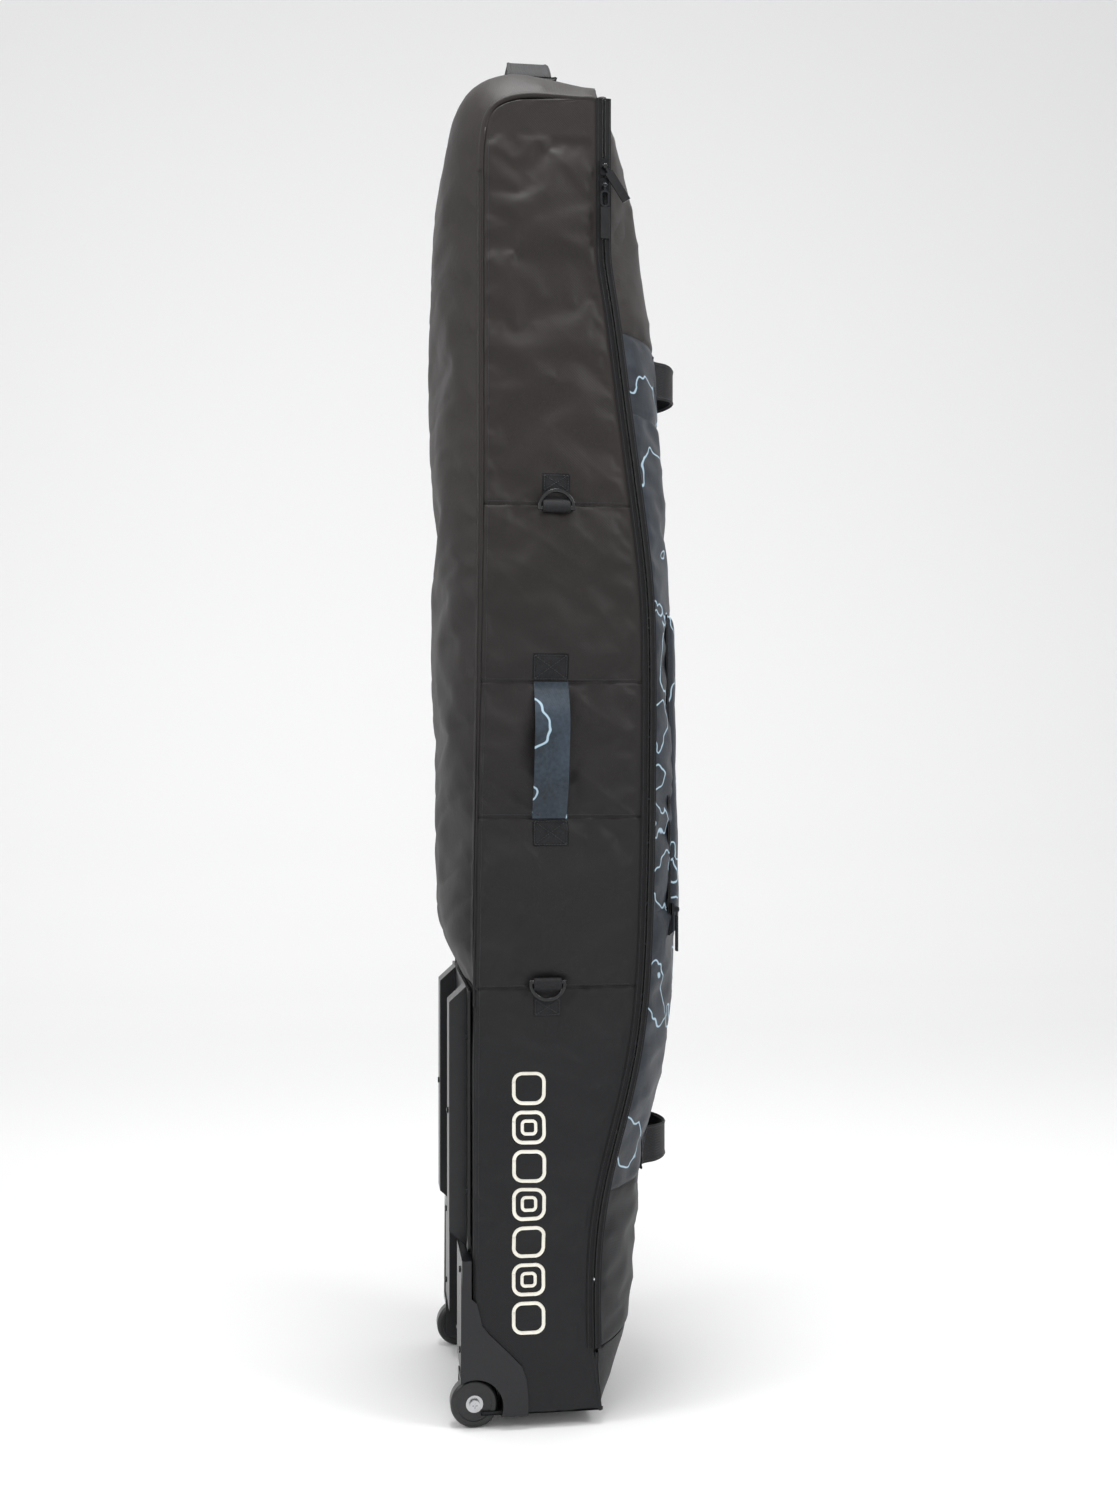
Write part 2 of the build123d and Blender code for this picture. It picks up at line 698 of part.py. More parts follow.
with BuildPart() as plate_screws:
    for side in sides.values():
        for x, face, z in (
            (runner_x, runner_foot + runner_height, 397.0), (142.0, plate_face + plate_thick, 500.0),
            (142.0, plate_face + plate_thick, 300.0), (142.0, housing_rear - screw_head, 200.0),
            (142.0, housing_rear - screw_head, 96.0),
        ):
            with BuildSketch(Plane(origin=(side * x, face, z), z_dir=(0, 1, 0))):
                Circle(screw_radius)
            extrude(amount=screw_head)
finish(plate_screws.part, "plate_screws")

# ---- piping along the back seams ----------------------------------------------------
piping_line = [(y + piping_lift, z) for y, z in back_seam[2:12]]
with BuildPart() as back_piping:
    for side in sides.values():
        rim = inset(piping_line, -piping_thick)
        strip = band(side * (half_width - piping_width - piping_edge), rim, piping_line)
        extrude(strip, amount=piping_width, dir=(side, 0, 0))
finish(back_piping.part, "back_piping")

# ---- lid pocket ---------------------------------------------------------------------
pocket_middle = [lift(940.0), lift(830.0), lift(720.0)]
pocket_levels = [pocket_high, pocket_high - 16.0, *pocket_middle, pocket_low + 15.0, pocket_low]
pocket_puff = [0.35, 0.9, 1.0, 1.0, 1.0, 0.9, 0.35]
pocket_stations = [-pocket_half_width, -60, 0, 60, pocket_half_width]
with BuildPart() as pocket_panel:
    strips = []
    for x in pocket_stations:
        under = [(lid_face(x, z) - pocket_clear, z) for z in pocket_levels]
        over = [(y - pocket_thick * puff, z) for (y, z), puff in zip(under, pocket_puff)]
        strips.append(band(x, over, under))
    loft(strips)
finish(pocket_panel.part, "pocket_panel")

with BuildPart() as pocket_zip_tape:
    strips = []
    for x in (pocket_zip_x - 4, pocket_zip_x + 4):
        under = [(lid_face(x, z) - pocket_clear, z) for z in pocket_levels]
        over = [(y - tape_thick, z) for y, z in under]
        strips.append(band(x, over, under))
    loft(strips)
finish(pocket_zip_tape.part, "pocket_zip_tape")

pocket_slider_y = lid_face(pocket_zip_x, pocket_slider_z) - pocket_slider_stand
pocket_pin_stand = 5.4
with BuildPart() as pocket_slider:
    with Locations((pocket_zip_x, pocket_slider_y, pocket_slider_z)):
        Box(*pocket_slider_size)
    for way in (-1, 1):
        lug_x = pocket_zip_x + way * (lug_gap + lug_thick) / 2
        with Locations((lug_x, pocket_slider_y - pocket_slider_size[1] / 2, pocket_slider_z)):
            Box(*pocket_lug, align=(Align.CENTER, Align.MAX, Align.CENTER))
    pocket_pin = (pocket_zip_x, pocket_slider_y - pocket_pin_stand, pocket_slider_z)
    with Locations(Location(pocket_pin, (0, 90, 0))):
        Cylinder(bail_radius, lug_gap + lug_thick)
finish(pocket_slider.part, "pocket_slider")

with BuildPart() as pocket_pull:
    with Locations(Location(pocket_pin, (0, 90, 0))):
        Cylinder(eye_radius, eye_width)
        Cylinder(bail_radius + bail_clearance, eye_width, mode=Mode.SUBTRACT)
    pull_top = pocket_slider_z - pull_start + eye_overlap
    with Locations((pocket_zip_x, pocket_pin[1], (pocket_slider_z - eye_radius + pull_top) / 2)):
        Box(eye_width, eye_thick, pull_start - eye_radius + eye_overlap)
    with Locations((pocket_zip_x, pocket_pin[1], pull_top - pocket_pull_length / 2)):
        Box(pull_width, pull_thick, pocket_pull_length)
finish(pocket_pull.part, "pocket_pull")

# ---- pieces inside ------------------------------------------------------------------
with BuildPart() as base_board:
    with BuildSketch(Plane.XY.offset(base_height + wall + skin_gap)):
        with Locations((0, board_y)):
            RectangleRounded(2 * (well_inner - housing_wall - board_air), board_length, board_corner)
    extrude(amount=stiffener_thick)
finish(base_board.part, "base_board")

stiffener_line = inset(back_middle[7:12], wall + stiffener_air)
with BuildPart() as back_stiffener:
    board = band(-stiffener_half, stiffener_line, inset(stiffener_line, stiffener_thick))
    extrude(board, amount=2 * stiffener_half, dir=(1, 0, 0))
finish(back_stiffener.part, "back_stiffener")

strap_y = {
    level: height_at(back_middle[::-1], z) - wall - stiffener_thick - strap_air
    for level, z in strap_levels.items()
}
for level, z in strap_levels.items():
    with BuildPart() as strap:
        with Locations((0, strap_y[level], z)):
            Box(strap_length, strap_thick, strap_width)
    finish(strap.part, f"tie_strap_{level}")

with BuildPart() as tie_buckles:
    for level, z in strap_levels.items():
        with Locations((0, strap_y[level] - strap_thick / 2 - buckle_air - buckle_size[1] / 2, z)):
            Box(*buckle_size)
    fillet(tie_buckles.edges().filter_by(Axis.Y), buckle_corner)
finish(tie_buckles.part, "tie_buckles")
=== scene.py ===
"""Wheeled snowboard bag: fabric, webbing, zips, moulded parts and wheels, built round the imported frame."""

import math

import bpy
import numpy as np
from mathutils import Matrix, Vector, noise
from mathutils.bvhtree import BVHTree


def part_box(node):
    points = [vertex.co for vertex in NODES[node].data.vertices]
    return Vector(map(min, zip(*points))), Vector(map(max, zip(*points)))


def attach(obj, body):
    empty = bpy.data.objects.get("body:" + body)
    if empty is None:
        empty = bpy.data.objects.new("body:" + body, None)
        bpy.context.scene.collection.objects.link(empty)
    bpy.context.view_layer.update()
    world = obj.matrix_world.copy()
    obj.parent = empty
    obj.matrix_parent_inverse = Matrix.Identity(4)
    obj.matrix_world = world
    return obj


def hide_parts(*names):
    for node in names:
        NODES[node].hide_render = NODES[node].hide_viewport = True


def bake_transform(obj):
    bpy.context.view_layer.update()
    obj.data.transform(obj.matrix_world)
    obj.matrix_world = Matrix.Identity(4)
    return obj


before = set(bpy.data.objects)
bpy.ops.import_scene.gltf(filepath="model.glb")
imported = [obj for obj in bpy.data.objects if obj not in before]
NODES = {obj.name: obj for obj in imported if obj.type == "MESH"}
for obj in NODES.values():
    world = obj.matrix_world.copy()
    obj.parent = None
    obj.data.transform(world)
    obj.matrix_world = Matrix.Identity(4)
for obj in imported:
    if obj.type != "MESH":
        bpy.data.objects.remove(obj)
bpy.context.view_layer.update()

bl_info = {
    "name": "Wheeled snowboard bag",
    "version": (1, 0, 0),
    "blender": (4, 5, 0),
    "location": "3D View > Sidebar > Bag",
    "description": "Builds the soft goods, zips and finishes of a wheeled snowboard bag",
    "category": "Object",
}

MM = 0.001
SIDES = {"left": -1, "right": 1}
SEAM_NODES = ("boot", "lower", "middle", "upper", "crown")

# ---- places read from the frame ------------------------------------------------------
SIDE_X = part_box("side_right_boot")[1][0]
SEAMS = [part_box(f"side_left_{name}")[0][2] for name in SEAM_NODES[1:]]
PRINT_LOW, PRINT_HIGH = (corner[2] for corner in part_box("lid_print_panel"))
LID_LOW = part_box("lid_toe_panel")[0][2]
ZIP_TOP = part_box("zip_tape_shell")[1][2]
BASE_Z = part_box("base_panel")[0][2]
CROWN_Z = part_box("back_panel")[1][2]
FOLD_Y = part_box("lid_side_return")[1][1]
PLATE_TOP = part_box("skid_plate")[1][2]


def tree_of(*names):
    """Search tree over the surfaces of CAD nodes."""
    points, faces = [], []
    for name in names:
        mesh = NODES[name].data
        start = len(points)
        points += [v.co.copy() for v in mesh.vertices]
        faces += [[start + i for i in p.vertices] for p in mesh.polygons]
    return BVHTree.FromPolygons(points, faces)


def outline(names, z):
    """Lowest and highest y of CAD nodes where a level plane at z cuts them."""
    low, high = math.inf, -math.inf
    for name in names:
        points, edges = EDGES[name]
        a, b = points[edges[:, 0]], points[edges[:, 1]]
        cut = (a[:, 2] - z) * (b[:, 2] - z) <= 0
        cut &= np.abs(a[:, 2] - b[:, 2]) > 1e-9
        if cut.any():
            a, b = a[cut], b[cut]
            y = a[:, 1] + (b[:, 1] - a[:, 1]) * (z - a[:, 2]) / (b[:, 2] - a[:, 2])
            low, high = min(low, y.min()), max(high, y.max())
    return low, high


def edge_table(name):
    """Points and edges of a CAD node."""
    mesh = NODES[name].data
    points = np.array([v.co for v in mesh.vertices])
    return points, np.array([e.vertices for e in mesh.edges])


LEFT = [f"side_left_{name}" for name in SEAM_NODES]
EDGES = {name: edge_table(name) for name in [*LEFT, "zip_coil_shell", "lid_side_return"]}
LID = tree_of("lid_crown_panel", "lid_print_panel", "lid_toe_panel")
BACK = tree_of("back_panel")
BOOT = tree_of("boot_front")
LEVELS = np.linspace(BASE_Z, CROWN_Z, 400)
ZIP_TABLE = np.array([
    outline(["zip_coil_shell"], min(max(z, LID_LOW + 2 * MM), ZIP_TOP - 2 * MM))[0] - 0.9 * MM
    for z in LEVELS
])
SIDE_TABLE = np.array([outline(LEFT, min(max(z, BASE_Z + 8 * MM), ZIP_TOP - MM)) for z in LEVELS])
RETURN_TABLE = np.array([
    outline(["lid_side_return"], min(max(z, LID_LOW + MM), ZIP_TOP - MM))[0] for z in LEVELS
])


def eased(table, reach=9):
    """A table with its sharp bends eased over a few levels."""
    padded = np.pad(table, reach, mode="reflect", reflect_type="odd")
    weight = np.hanning(2 * reach + 3)[1:-1]
    return np.convolve(padded, weight / weight.sum(), mode="valid")


ZIP_TABLE = eased(ZIP_TABLE)
FRONT_TABLE, REAR_TABLE = eased(SIDE_TABLE[:, 0]), SIDE_TABLE[:, 1]


def at(table, z):
    """Value of a table of LEVELS at a height."""
    return np.interp(z, LEVELS, table)


def cast(tree, start, way, reach=3.0):
    """Where a ray first meets a surface, or None."""
    hit = tree.ray_cast(Vector(start), Vector(way), reach)[0]
    return None if hit is None else np.array(hit)


def profile(tree, x, core_y, low, high, way, fan_low, fan_high):
    """Outer face of a shell in the plane at x, from its lower end to its upper one.

    It is seen from the line at core_y between the heights low and high, and past them by the fans' angles.
    """
    def look(z, angle):
        aim = np.array([0, way * math.cos(angle), math.sin(angle)])
        return cast(tree, np.array([x, core_y, z]) + 0.6 * aim, -aim, 0.58)

    def fan(z, limit):
        found, last = [], 0.0
        for angle in np.linspace(0, limit, 30)[1:]:
            point = look(z, angle)
            if point is None:
                for _ in range(8):
                    middle = (last + angle) / 2
                    point = look(z, middle)
                    last, angle = (last, middle) if point is None else (middle, angle)
                point = look(z, last)
                return found + ([] if point is None else [point])
            found.append(point)
            last = angle
        return found

    straight = [look(z, 0.0) for z in np.linspace(low, high, 160)]
    below = fan(low, -fan_low)[::-1] if fan_low else []
    above = fan(high, fan_high) if fan_high else []
    return np.array([p for p in [*below, *straight, *above] if p is not None])


def lengths_along(line):
    """Length from a line's start to each of its points."""
    return np.concatenate([[0], np.cumsum(np.linalg.norm(np.diff(line, axis=0), axis=1))])


def resample(line, ends, shares):
    """Points of a line at shares of the way between two lengths along it."""
    length = lengths_along(line)
    wanted = ends[0] + (ends[1] - ends[0]) * shares
    return np.stack([np.interp(wanted, length, line[:, i]) for i in range(3)], axis=1)


def length_at(line, z):
    """Length along a line where it first reaches the height z, or its whole length for None."""
    length = lengths_along(line)
    if z is None:
        return length[-1]
    if z <= line[0, 2]:
        return 0.0
    i = int(np.argmax(line[:, 2] >= z))
    share = (z - line[i - 1, 2]) / (line[i, 2] - line[i - 1, 2])
    return length[i - 1] + share * (length[i] - length[i - 1])


# ---- noise and meshes ----------------------------------------------------------------


def soft_noise(points, size, seed=0.0):
    """Smooth noise from -1 to 1 at each point; size is its grain in metres."""
    flat = points.reshape(-1, 3) / size + seed
    values = np.array([noise.noise(Vector(p)) for p in flat])
    return values.reshape(points.shape[:-1])


def creases(points, along, across, seed):
    """Sharp folds, 0 to 1, long in one direction: along and across are lengths and directions."""
    (long, way), (short, side) = along, across
    flat = np.stack([points @ np.array(way) / long, points @ np.array(side) / short,
                     np.full(points.shape[:-1], seed)], axis=-1)
    n = np.array([noise.noise(Vector(p)) for p in flat.reshape(-1, 3)]).reshape(points.shape[:-1])
    return np.clip(1 - np.abs(n) * 3.2, 0, 1) ** 2


def normals(grid):
    """Unit normals of a grid of points, rows by columns."""
    down = np.gradient(grid, axis=0)
    across = np.gradient(grid, axis=1)
    n = np.cross(down, across)
    return n / np.maximum(np.linalg.norm(n, axis=-1, keepdims=True), 1e-12)


def steps(low, high, size, marks=(), fine=1.0 * MM, reach=6 * MM):
    """Positions from low to high, closer together near the marks."""
    values = list(np.linspace(low, high, max(2, round((high - low) / size) + 1)))
    for mark in marks:
        near = np.arange(mark - reach, mark + reach + fine / 2, fine)
        values = [v for v in values if abs(v - mark) > reach + fine / 2 or v in (low, high)]
        values += [v for v in near if low < v < high]
    return np.array(sorted(set(np.round(values, 7))))


def mesh_object(name, points, faces, material, smooth=True):
    mesh = bpy.data.meshes.new(name)
    mesh.from_pydata([tuple(p) for p in points], [], [tuple(f) for f in faces])
    mesh.validate()
    mesh.materials.append(material)
    mesh.polygons.foreach_set("use_smooth", [smooth] * len(mesh.polygons))
    piece = bpy.data.objects.new(name, mesh)
    bpy.context.scene.collection.objects.link(piece)
    return piece


def slab(name, grid, thick, material, outward=1, base=None):
    """Closed fabric panel: grid is its outer face and thick its depth.

    outward is 1 where the grid's normals point out of the bag, and base is a smoother face that its depth is
    measured from.
    """
    rows, cols = grid.shape[:2]
    under = grid if base is None else base
    inner = under - outward * normals(under) * thick
    points = np.concatenate([grid.reshape(-1, 3), inner.reshape(-1, 3)])
    index = np.arange(rows * cols).reshape(rows, cols)
    a, b, c, d = index[:-1, :-1], index[1:, :-1], index[1:, 1:], index[:-1, 1:]
    outer = np.stack([a, b, c, d], axis=-1).reshape(-1, 4)
    if outward < 0:
        outer = outer[:, ::-1]
    back = outer[:, ::-1] + rows * cols
    rim = np.concatenate([index[:, 0], index[-1, 1:], index[-2::-1, -1], index[0, -2:0:-1]])
    after = np.roll(rim, -1)
    sides = np.stack([rim, rim + rows * cols, after + rows * cols, after], axis=-1)
    if outward > 0:
        sides = sides[:, ::-1]
    return mesh_object(name, points, np.concatenate([outer, back, sides]), material)


def bars(name, centres, along, out, size, material):
    """Many small closed lozenges, such as stitches or zip teeth: size is length, width, height."""
    shape = [(-1, 0), (-0.6, -1), (0.6, -1), (1, 0), (0.6, 1), (-0.6, 1)]
    points, faces = [], []
    for centre, ahead, up in zip(centres, along, out):
        ahead = np.array(ahead) / np.linalg.norm(ahead)
        up = np.array(up) - ahead * np.dot(up, ahead)
        up /= np.linalg.norm(up)
        across = np.cross(up, ahead)
        start = len(points)
        for lift, share in ((-0.5, 1.0), (0.2, 1.0), (0.5, 0.6)):
            for u, v in shape:
                points.append(
                    np.array(centre) + ahead * u * share * size[0] / 2
                    + across * v * share * size[1] / 2 + up * lift * size[2]
                )
        for layer in (0, 6):
            for i in range(6):
                j = (i + 1) % 6
                faces.append([start + layer + i, start + layer + j, start + layer + 6 + j,
                              start + layer + 6 + i])
        faces.append([start + i for i in range(5, -1, -1)])
        faces.append([start + 12 + i for i in range(6)])
    return mesh_object(name, points, faces, material)


# ---- materials -----------------------------------------------------------------------


def linear(code, alpha=1.0):
    """Linear colour of an sRGB hex value, or a linear colour as it is."""
    if not isinstance(code, str):
        return list(code)
    parts = [int(code[i:i + 2], 16) / 255 for i in (1, 3, 5)]
    return [*[p / 12.92 if p <= 0.04045 else ((p + 0.055) / 1.055) ** 2.4 for p in parts], alpha]


def add(tree, kind, settings=None, links=None):
    """One node with its settings and links: a link is (socket name or number): other socket or value."""
    node = tree.nodes.new(kind)
    for key, value in (settings or {}).items():
        setattr(node, key, value)
    for key, value in (links or {}).items():
        if isinstance(value, bpy.types.NodeSocket):
            tree.links.new(value, node.inputs[key])
        else:
            node.inputs[key].default_value = value
    return node


def new_material(name, **sockets):
    material = bpy.data.materials.new(name)
    material.use_nodes = True
    shader = material.node_tree.nodes["Principled BSDF"]
    for key, value in sockets.items():
        shader.inputs[key.replace("_", " ")].default_value = value
    return material, material.node_tree, shader


def place(tree):
    """Position in the bag's own frame."""
    return add(tree, "ShaderNodeTexCoord").outputs["Object"]


def ramp(tree, factor, stops):
    node = add(tree, "ShaderNodeValToRGB", links={"Fac": factor})
    elements = node.color_ramp.elements
    while len(elements) < len(stops):
        elements.new(0.5)
    for element, (position, colour) in zip(elements, stops):
        element.position = position
        element.color = colour
    return node.outputs["Color"]


def weave_height(tree, position, pitch):
    """Plain weave: two sets of threads at right angles, pitch metres apart."""
    turns = math.pi / pitch
    apart = add(tree, "ShaderNodeSeparateXYZ", links={0: position})
    level = calculate(tree, "ADD", apart.outputs[0], apart.outputs[1])
    waves = [calculate(tree, "SINE", calculate(tree, "MULTIPLY", value, turns))
             for value in (level, apart.outputs[2])]
    return calculate(tree, "MULTIPLY", *waves)


def bump(tree, shader, height, distance, strength=1.0, under=None):
    links = {"Height": height, "Distance": distance, "Strength": strength}
    if under is not None:
        links["Normal"] = under
    node = add(tree, "ShaderNodeBump", links=links)
    tree.links.new(node.outputs[0], shader.inputs["Normal"])
    return node.outputs[0]


def noise_value(tree, position, size, detail=2.0):
    """Cloudy noise from 0 to 1 whose grain has the given size in metres."""
    return add(tree, "ShaderNodeTexNoise",
               links={"Vector": position, "Scale": 1 / size, "Detail": detail}).outputs["Fac"]


def calculate(tree, operation, *values):
    """Result of one Math node."""
    return add(tree, "ShaderNodeMath", {"operation": operation}, dict(enumerate(values))).outputs[0]


def woven_polyester(colours):
    """Plain-woven polyester pack cloth: matt, faintly speckled, threads 1.6 mm apart (finer in truth, drawn
    coarse enough to show), with painted light in its colour: lighter and warmer at the top, and darker at the
    base as painted shade."""
    material, tree, shader = new_material("woven polyester pack cloth", Roughness=0.55,
                                          Specular_IOR_Level=0.32, Sheen_Weight=0.03, Sheen_Roughness=0.5)
    position = place(tree)
    # painted light: the colour ramps by height from a darker painted-shade tone at the base to a lighter lit
    # tone at the top
    height = add(tree, "ShaderNodeSeparateXYZ", links={0: position}).outputs[2]
    share = add(tree, "ShaderNodeMapRange", links={"Value": height, "From Min": 0.45, "From Max": 1.25})
    tint = ramp(tree, share.outputs[0], [(0.0, linear(colours.cloth_shaded_low)), (1.0, linear(colours.cloth_lit_high))])
    speckle = noise_value(tree, position, 1.3 * MM)
    patch = noise_value(tree, position, 90 * MM)
    mottle = calculate(tree, "MULTIPLY_ADD", speckle, 0.5, 0.5)
    mottle = calculate(tree, "MULTIPLY_ADD", patch, 0.35, mottle)
    grey = add(tree, "ShaderNodeCombineColor", links={0: mottle, 1: mottle, 2: mottle}).outputs[0]
    colour = add(tree, "ShaderNodeMix", {"data_type": "RGBA", "blend_type": "MULTIPLY"},
                 {0: 1.0, 6: tint, 7: grey}).outputs[2]
    tree.links.new(colour, shader.inputs["Base Color"])
    grain = bump(tree, shader, weave_height(tree, position, 1.6 * MM), 0.12 * MM, 0.5)
    bump(tree, shader, noise_value(tree, position, 7 * MM, 3.0), 0.5 * MM, 0.5, grain)
    return material


def contour_lines(tree, position, level, width):
    """1 on thin wandering lines of even width, 0 elsewhere."""
    step = 1.5 * MM
    shifts = [(0, 0, 0), (step, 0, 0), (0, step, 0), (0, 0, step)]
    values = []
    for shift in shifts:
        moved = add(tree, "ShaderNodeVectorMath", {"operation": "ADD"}, {0: position, 1: shift}).outputs[0]
        values.append(noise_value(tree, moved, 95 * MM, 2.6))
    rises = [calculate(tree, "SUBTRACT", value, values[0]) for value in values[1:]]
    slope = add(tree, "ShaderNodeCombineXYZ", links=dict(enumerate(rises))).outputs[0]
    steep = add(tree, "ShaderNodeVectorMath", {"operation": "LENGTH"}, {0: slope}).outputs[1]
    off = calculate(tree, "ABSOLUTE", calculate(tree, "SUBTRACT", values[0], level))
    far = calculate(tree, "DIVIDE", off, steep)
    return add(tree, "ShaderNodeMapRange", links={
        "Value": far, "From Min": width * 0.6, "From Max": width * 1.2, "To Min": 1.0, "To Max": 0.0,
    }).outputs[0]


def printed_polyester(name, colours, base, line_level, line_width=0.75):
    """Printed polyester: dark slate heather with pale wandering contour lines, a little smoother than the
    black cloth because ink fills the weave."""
    material, tree, shader = new_material(name, Roughness=0.5, Specular_IOR_Level=0.35, Sheen_Weight=0.03)
    position = place(tree)
    heather = noise_value(tree, position, 5 * MM, 4.0)
    cloud = noise_value(tree, position, 70 * MM, 2.0)
    mixed = calculate(tree, "MULTIPLY_ADD", cloud, 0.9, -0.2)
    mixed = calculate(tree, "MULTIPLY_ADD", heather, 0.6, mixed)
    dark, light = base
    ground = ramp(tree, mixed, [(0.25, linear(dark)), (0.85, linear(light))])
    lines = contour_lines(tree, position, line_level, line_width)
    colour = add(tree, "ShaderNodeMix", {"data_type": "RGBA"},
                 {0: lines, 6: ground, 7: linear(colours.line_blue)}).outputs[2]
    tree.links.new(colour, shader.inputs["Base Color"])
    grain = bump(tree, shader, weave_height(tree, position, 1.5 * MM), 0.1 * MM, 0.4)
    bump(tree, shader, noise_value(tree, position, 9 * MM, 3.0), 0.6 * MM, 0.5, grain)
    return material


def woven_webbing(colours):
    """Polyester webbing: close ribs across the strap, 1.8 mm apart, dull with a slight sheen."""
    material, tree, shader = new_material("woven polyester webbing", Roughness=0.6, Specular_IOR_Level=0.3,
                                          Sheen_Weight=0.04)
    position = place(tree)
    tint = ramp(tree, noise_value(tree, position, 3 * MM), [
        (0.3, linear(colours.webbing_dark)), (0.8, linear(colours.webbing_light))])
    tree.links.new(tint, shader.inputs["Base Color"])
    bump(tree, shader, weave_height(tree, position, 1.8 * MM), 0.2 * MM, 0.7)
    return material


def plain_finish(name, code, size, depth, spread=0.25, **sockets):
    """A dyed or moulded surface: even colour, slight cloudiness, and grain of the given size and depth."""
    material, tree, shader = new_material(name, **sockets)
    position = place(tree)
    base = linear(code)
    dark = [c * (1 - spread) for c in base[:3]] + [1.0]
    light = [c * (1 + spread) for c in base[:3]] + [1.0]
    tint = ramp(tree, noise_value(tree, position, size * 6, 3.0), [(0.3, dark), (0.7, light)])
    tree.links.new(tint, shader.inputs["Base Color"])
    bump(tree, shader, noise_value(tree, position, size, 2.0), depth)
    return material


MATERIALS = {}


def make_materials(colours):
    MATERIALS.update(
        cloth=woven_polyester(colours),
        printed=printed_polyester("printed polyester", colours,
                                  (colours.slate_dark, colours.slate_light), 0.56),
        printed_webbing=printed_polyester("printed webbing", colours,
                                          (colours.strap_dark, colours.strap_light), 0.55, 0.9),
        webbing=woven_webbing(colours),
        # knitted polyester zip tape: flat black, finely ribbed
        tape=plain_finish("knitted zip tape", "#141416", 1.5 * MM, 0.15 * MM, Roughness=0.7,
                          Specular_IOR_Level=0.3),
        # nylon coil: smooth black filament with small highlights
        coil=plain_finish("nylon zip coil", "#17181a", 1.0 * MM, 0.05 * MM, Roughness=0.35),
        # bonded nylon thread
        thread=plain_finish("bonded nylon thread", "#232427", 0.8 * MM, 0.05 * MM, Roughness=0.4),
        # die-cast zinc alloy under black lacquer
        slider=plain_finish("lacquered zinc alloy", "#2a2b2d", 0.8 * MM, 0.02 * MM, Metallic=0.85,
                            Roughness=0.3),
        # nickel-plated steel, polished
        nickel=plain_finish("nickel plated steel", "#b9babc", 2 * MM, 0.01 * MM, spread=0.08,
                            Metallic=1.0, Roughness=0.22),
        # zinc alloy with a dark bright plating
        gunmetal=plain_finish("dark plated zinc alloy", "#3c3d40", 2 * MM, 0.01 * MM, spread=0.08,
                              Metallic=1.0, Roughness=0.25),
        # moulded acetal: smooth black with clear highlights
        acetal=plain_finish("moulded acetal", "#141517", 1.2 * MM, 0.02 * MM, Roughness=0.22),
        # injection-moulded ABS with a fine spark-eroded grain
        housing=plain_finish("moulded ABS", "#131417", 0.9 * MM, 0.04 * MM, spread=0.12, Roughness=0.34,
                             Specular_IOR_Level=0.42),
        # cast polyurethane, satin
        tyre=plain_finish("cast polyurethane", "#151617", 1.5 * MM, 0.03 * MM, Roughness=0.32),
        hub=plain_finish("moulded nylon", "#1a1b1d", 1.0 * MM, 0.03 * MM, Roughness=0.42),
        screw=plain_finish("blackened steel", "#2b2c2e", 0.8 * MM, 0.02 * MM, Metallic=0.9, Roughness=0.4),
        # screen-print ink on cloth: slightly raised, off-white, matt
        ink=plain_finish("screen print ink", "#ece9dd", 1.6 * MM, 0.05 * MM, spread=0.05, Roughness=0.6),
        piping=plain_finish("vinyl piping", "#1f2023", 1.5 * MM, 0.05 * MM, Roughness=0.45),
        board=plain_finish("polyethylene board", "#46474b", 3 * MM, 0.05 * MM, Roughness=0.55),
    )


def paint(name, finish):
    for slot in NODES[name].material_slots:
        slot.material = MATERIALS[finish]


# ---- shapes of the cloth -------------------------------------------------------------


def bell(distance, width):
    """1 at no distance, falling smoothly to 0 over about two widths."""
    return np.exp(-((distance / width) ** 2))


def settle(grid, pinned, grow, push, frames=16):
    """Displacement of a cloth grid, sewn down where pinned, once it has grown and been pushed outwards.

    The grid's normals point out of the bag.
    """
    rows, cols = grid.shape[:2]
    index = np.arange(rows * cols).reshape(rows, cols)
    faces = np.stack([index[:-1, :-1], index[1:, :-1], index[1:, 1:], index[:-1, 1:]], axis=-1).reshape(-1, 4)
    uneven = soft_noise(grid, 30 * MM, 5.0)[..., None] * 0.8 * MM
    start = grid + normals(grid) * uneven * ~pinned[..., None]
    piece = mesh_object("settling_cloth", start.reshape(-1, 3), faces, MATERIALS["cloth"])
    group = piece.vertex_groups.new(name="sewn")
    group.add([int(i) for i in index[pinned]], 1.0, "REPLACE")
    cloth = piece.modifiers.new("settle", "CLOTH")
    for key, value in {
        "quality": 6, "mass": 0.15, "tension_stiffness": 25, "compression_stiffness": 25,
        "shear_stiffness": 12, "bending_stiffness": 4.0, "tension_damping": 12, "compression_damping": 12,
        "shear_damping": 12, "air_damping": 3, "shrink_min": -grow, "vertex_group_mass": "sewn",
        "use_pressure": True, "uniform_pressure_force": push,
    }.items():
        setattr(cloth.settings, key, value)
    cloth.settings.effector_weights.gravity = 0
    cloth.collision_settings.use_collision = False
    scene = bpy.context.scene
    for frame_number in range(1, frames + 1):
        scene.frame_set(frame_number)
    settled = piece.evaluated_get(bpy.context.evaluated_depsgraph_get())
    points = np.array([v.co for v in settled.data.vertices]).reshape(grid.shape)
    scene.frame_set(1)
    bpy.data.objects.remove(piece)
    moved = points - grid
    moved[pinned] = 0
    return moved


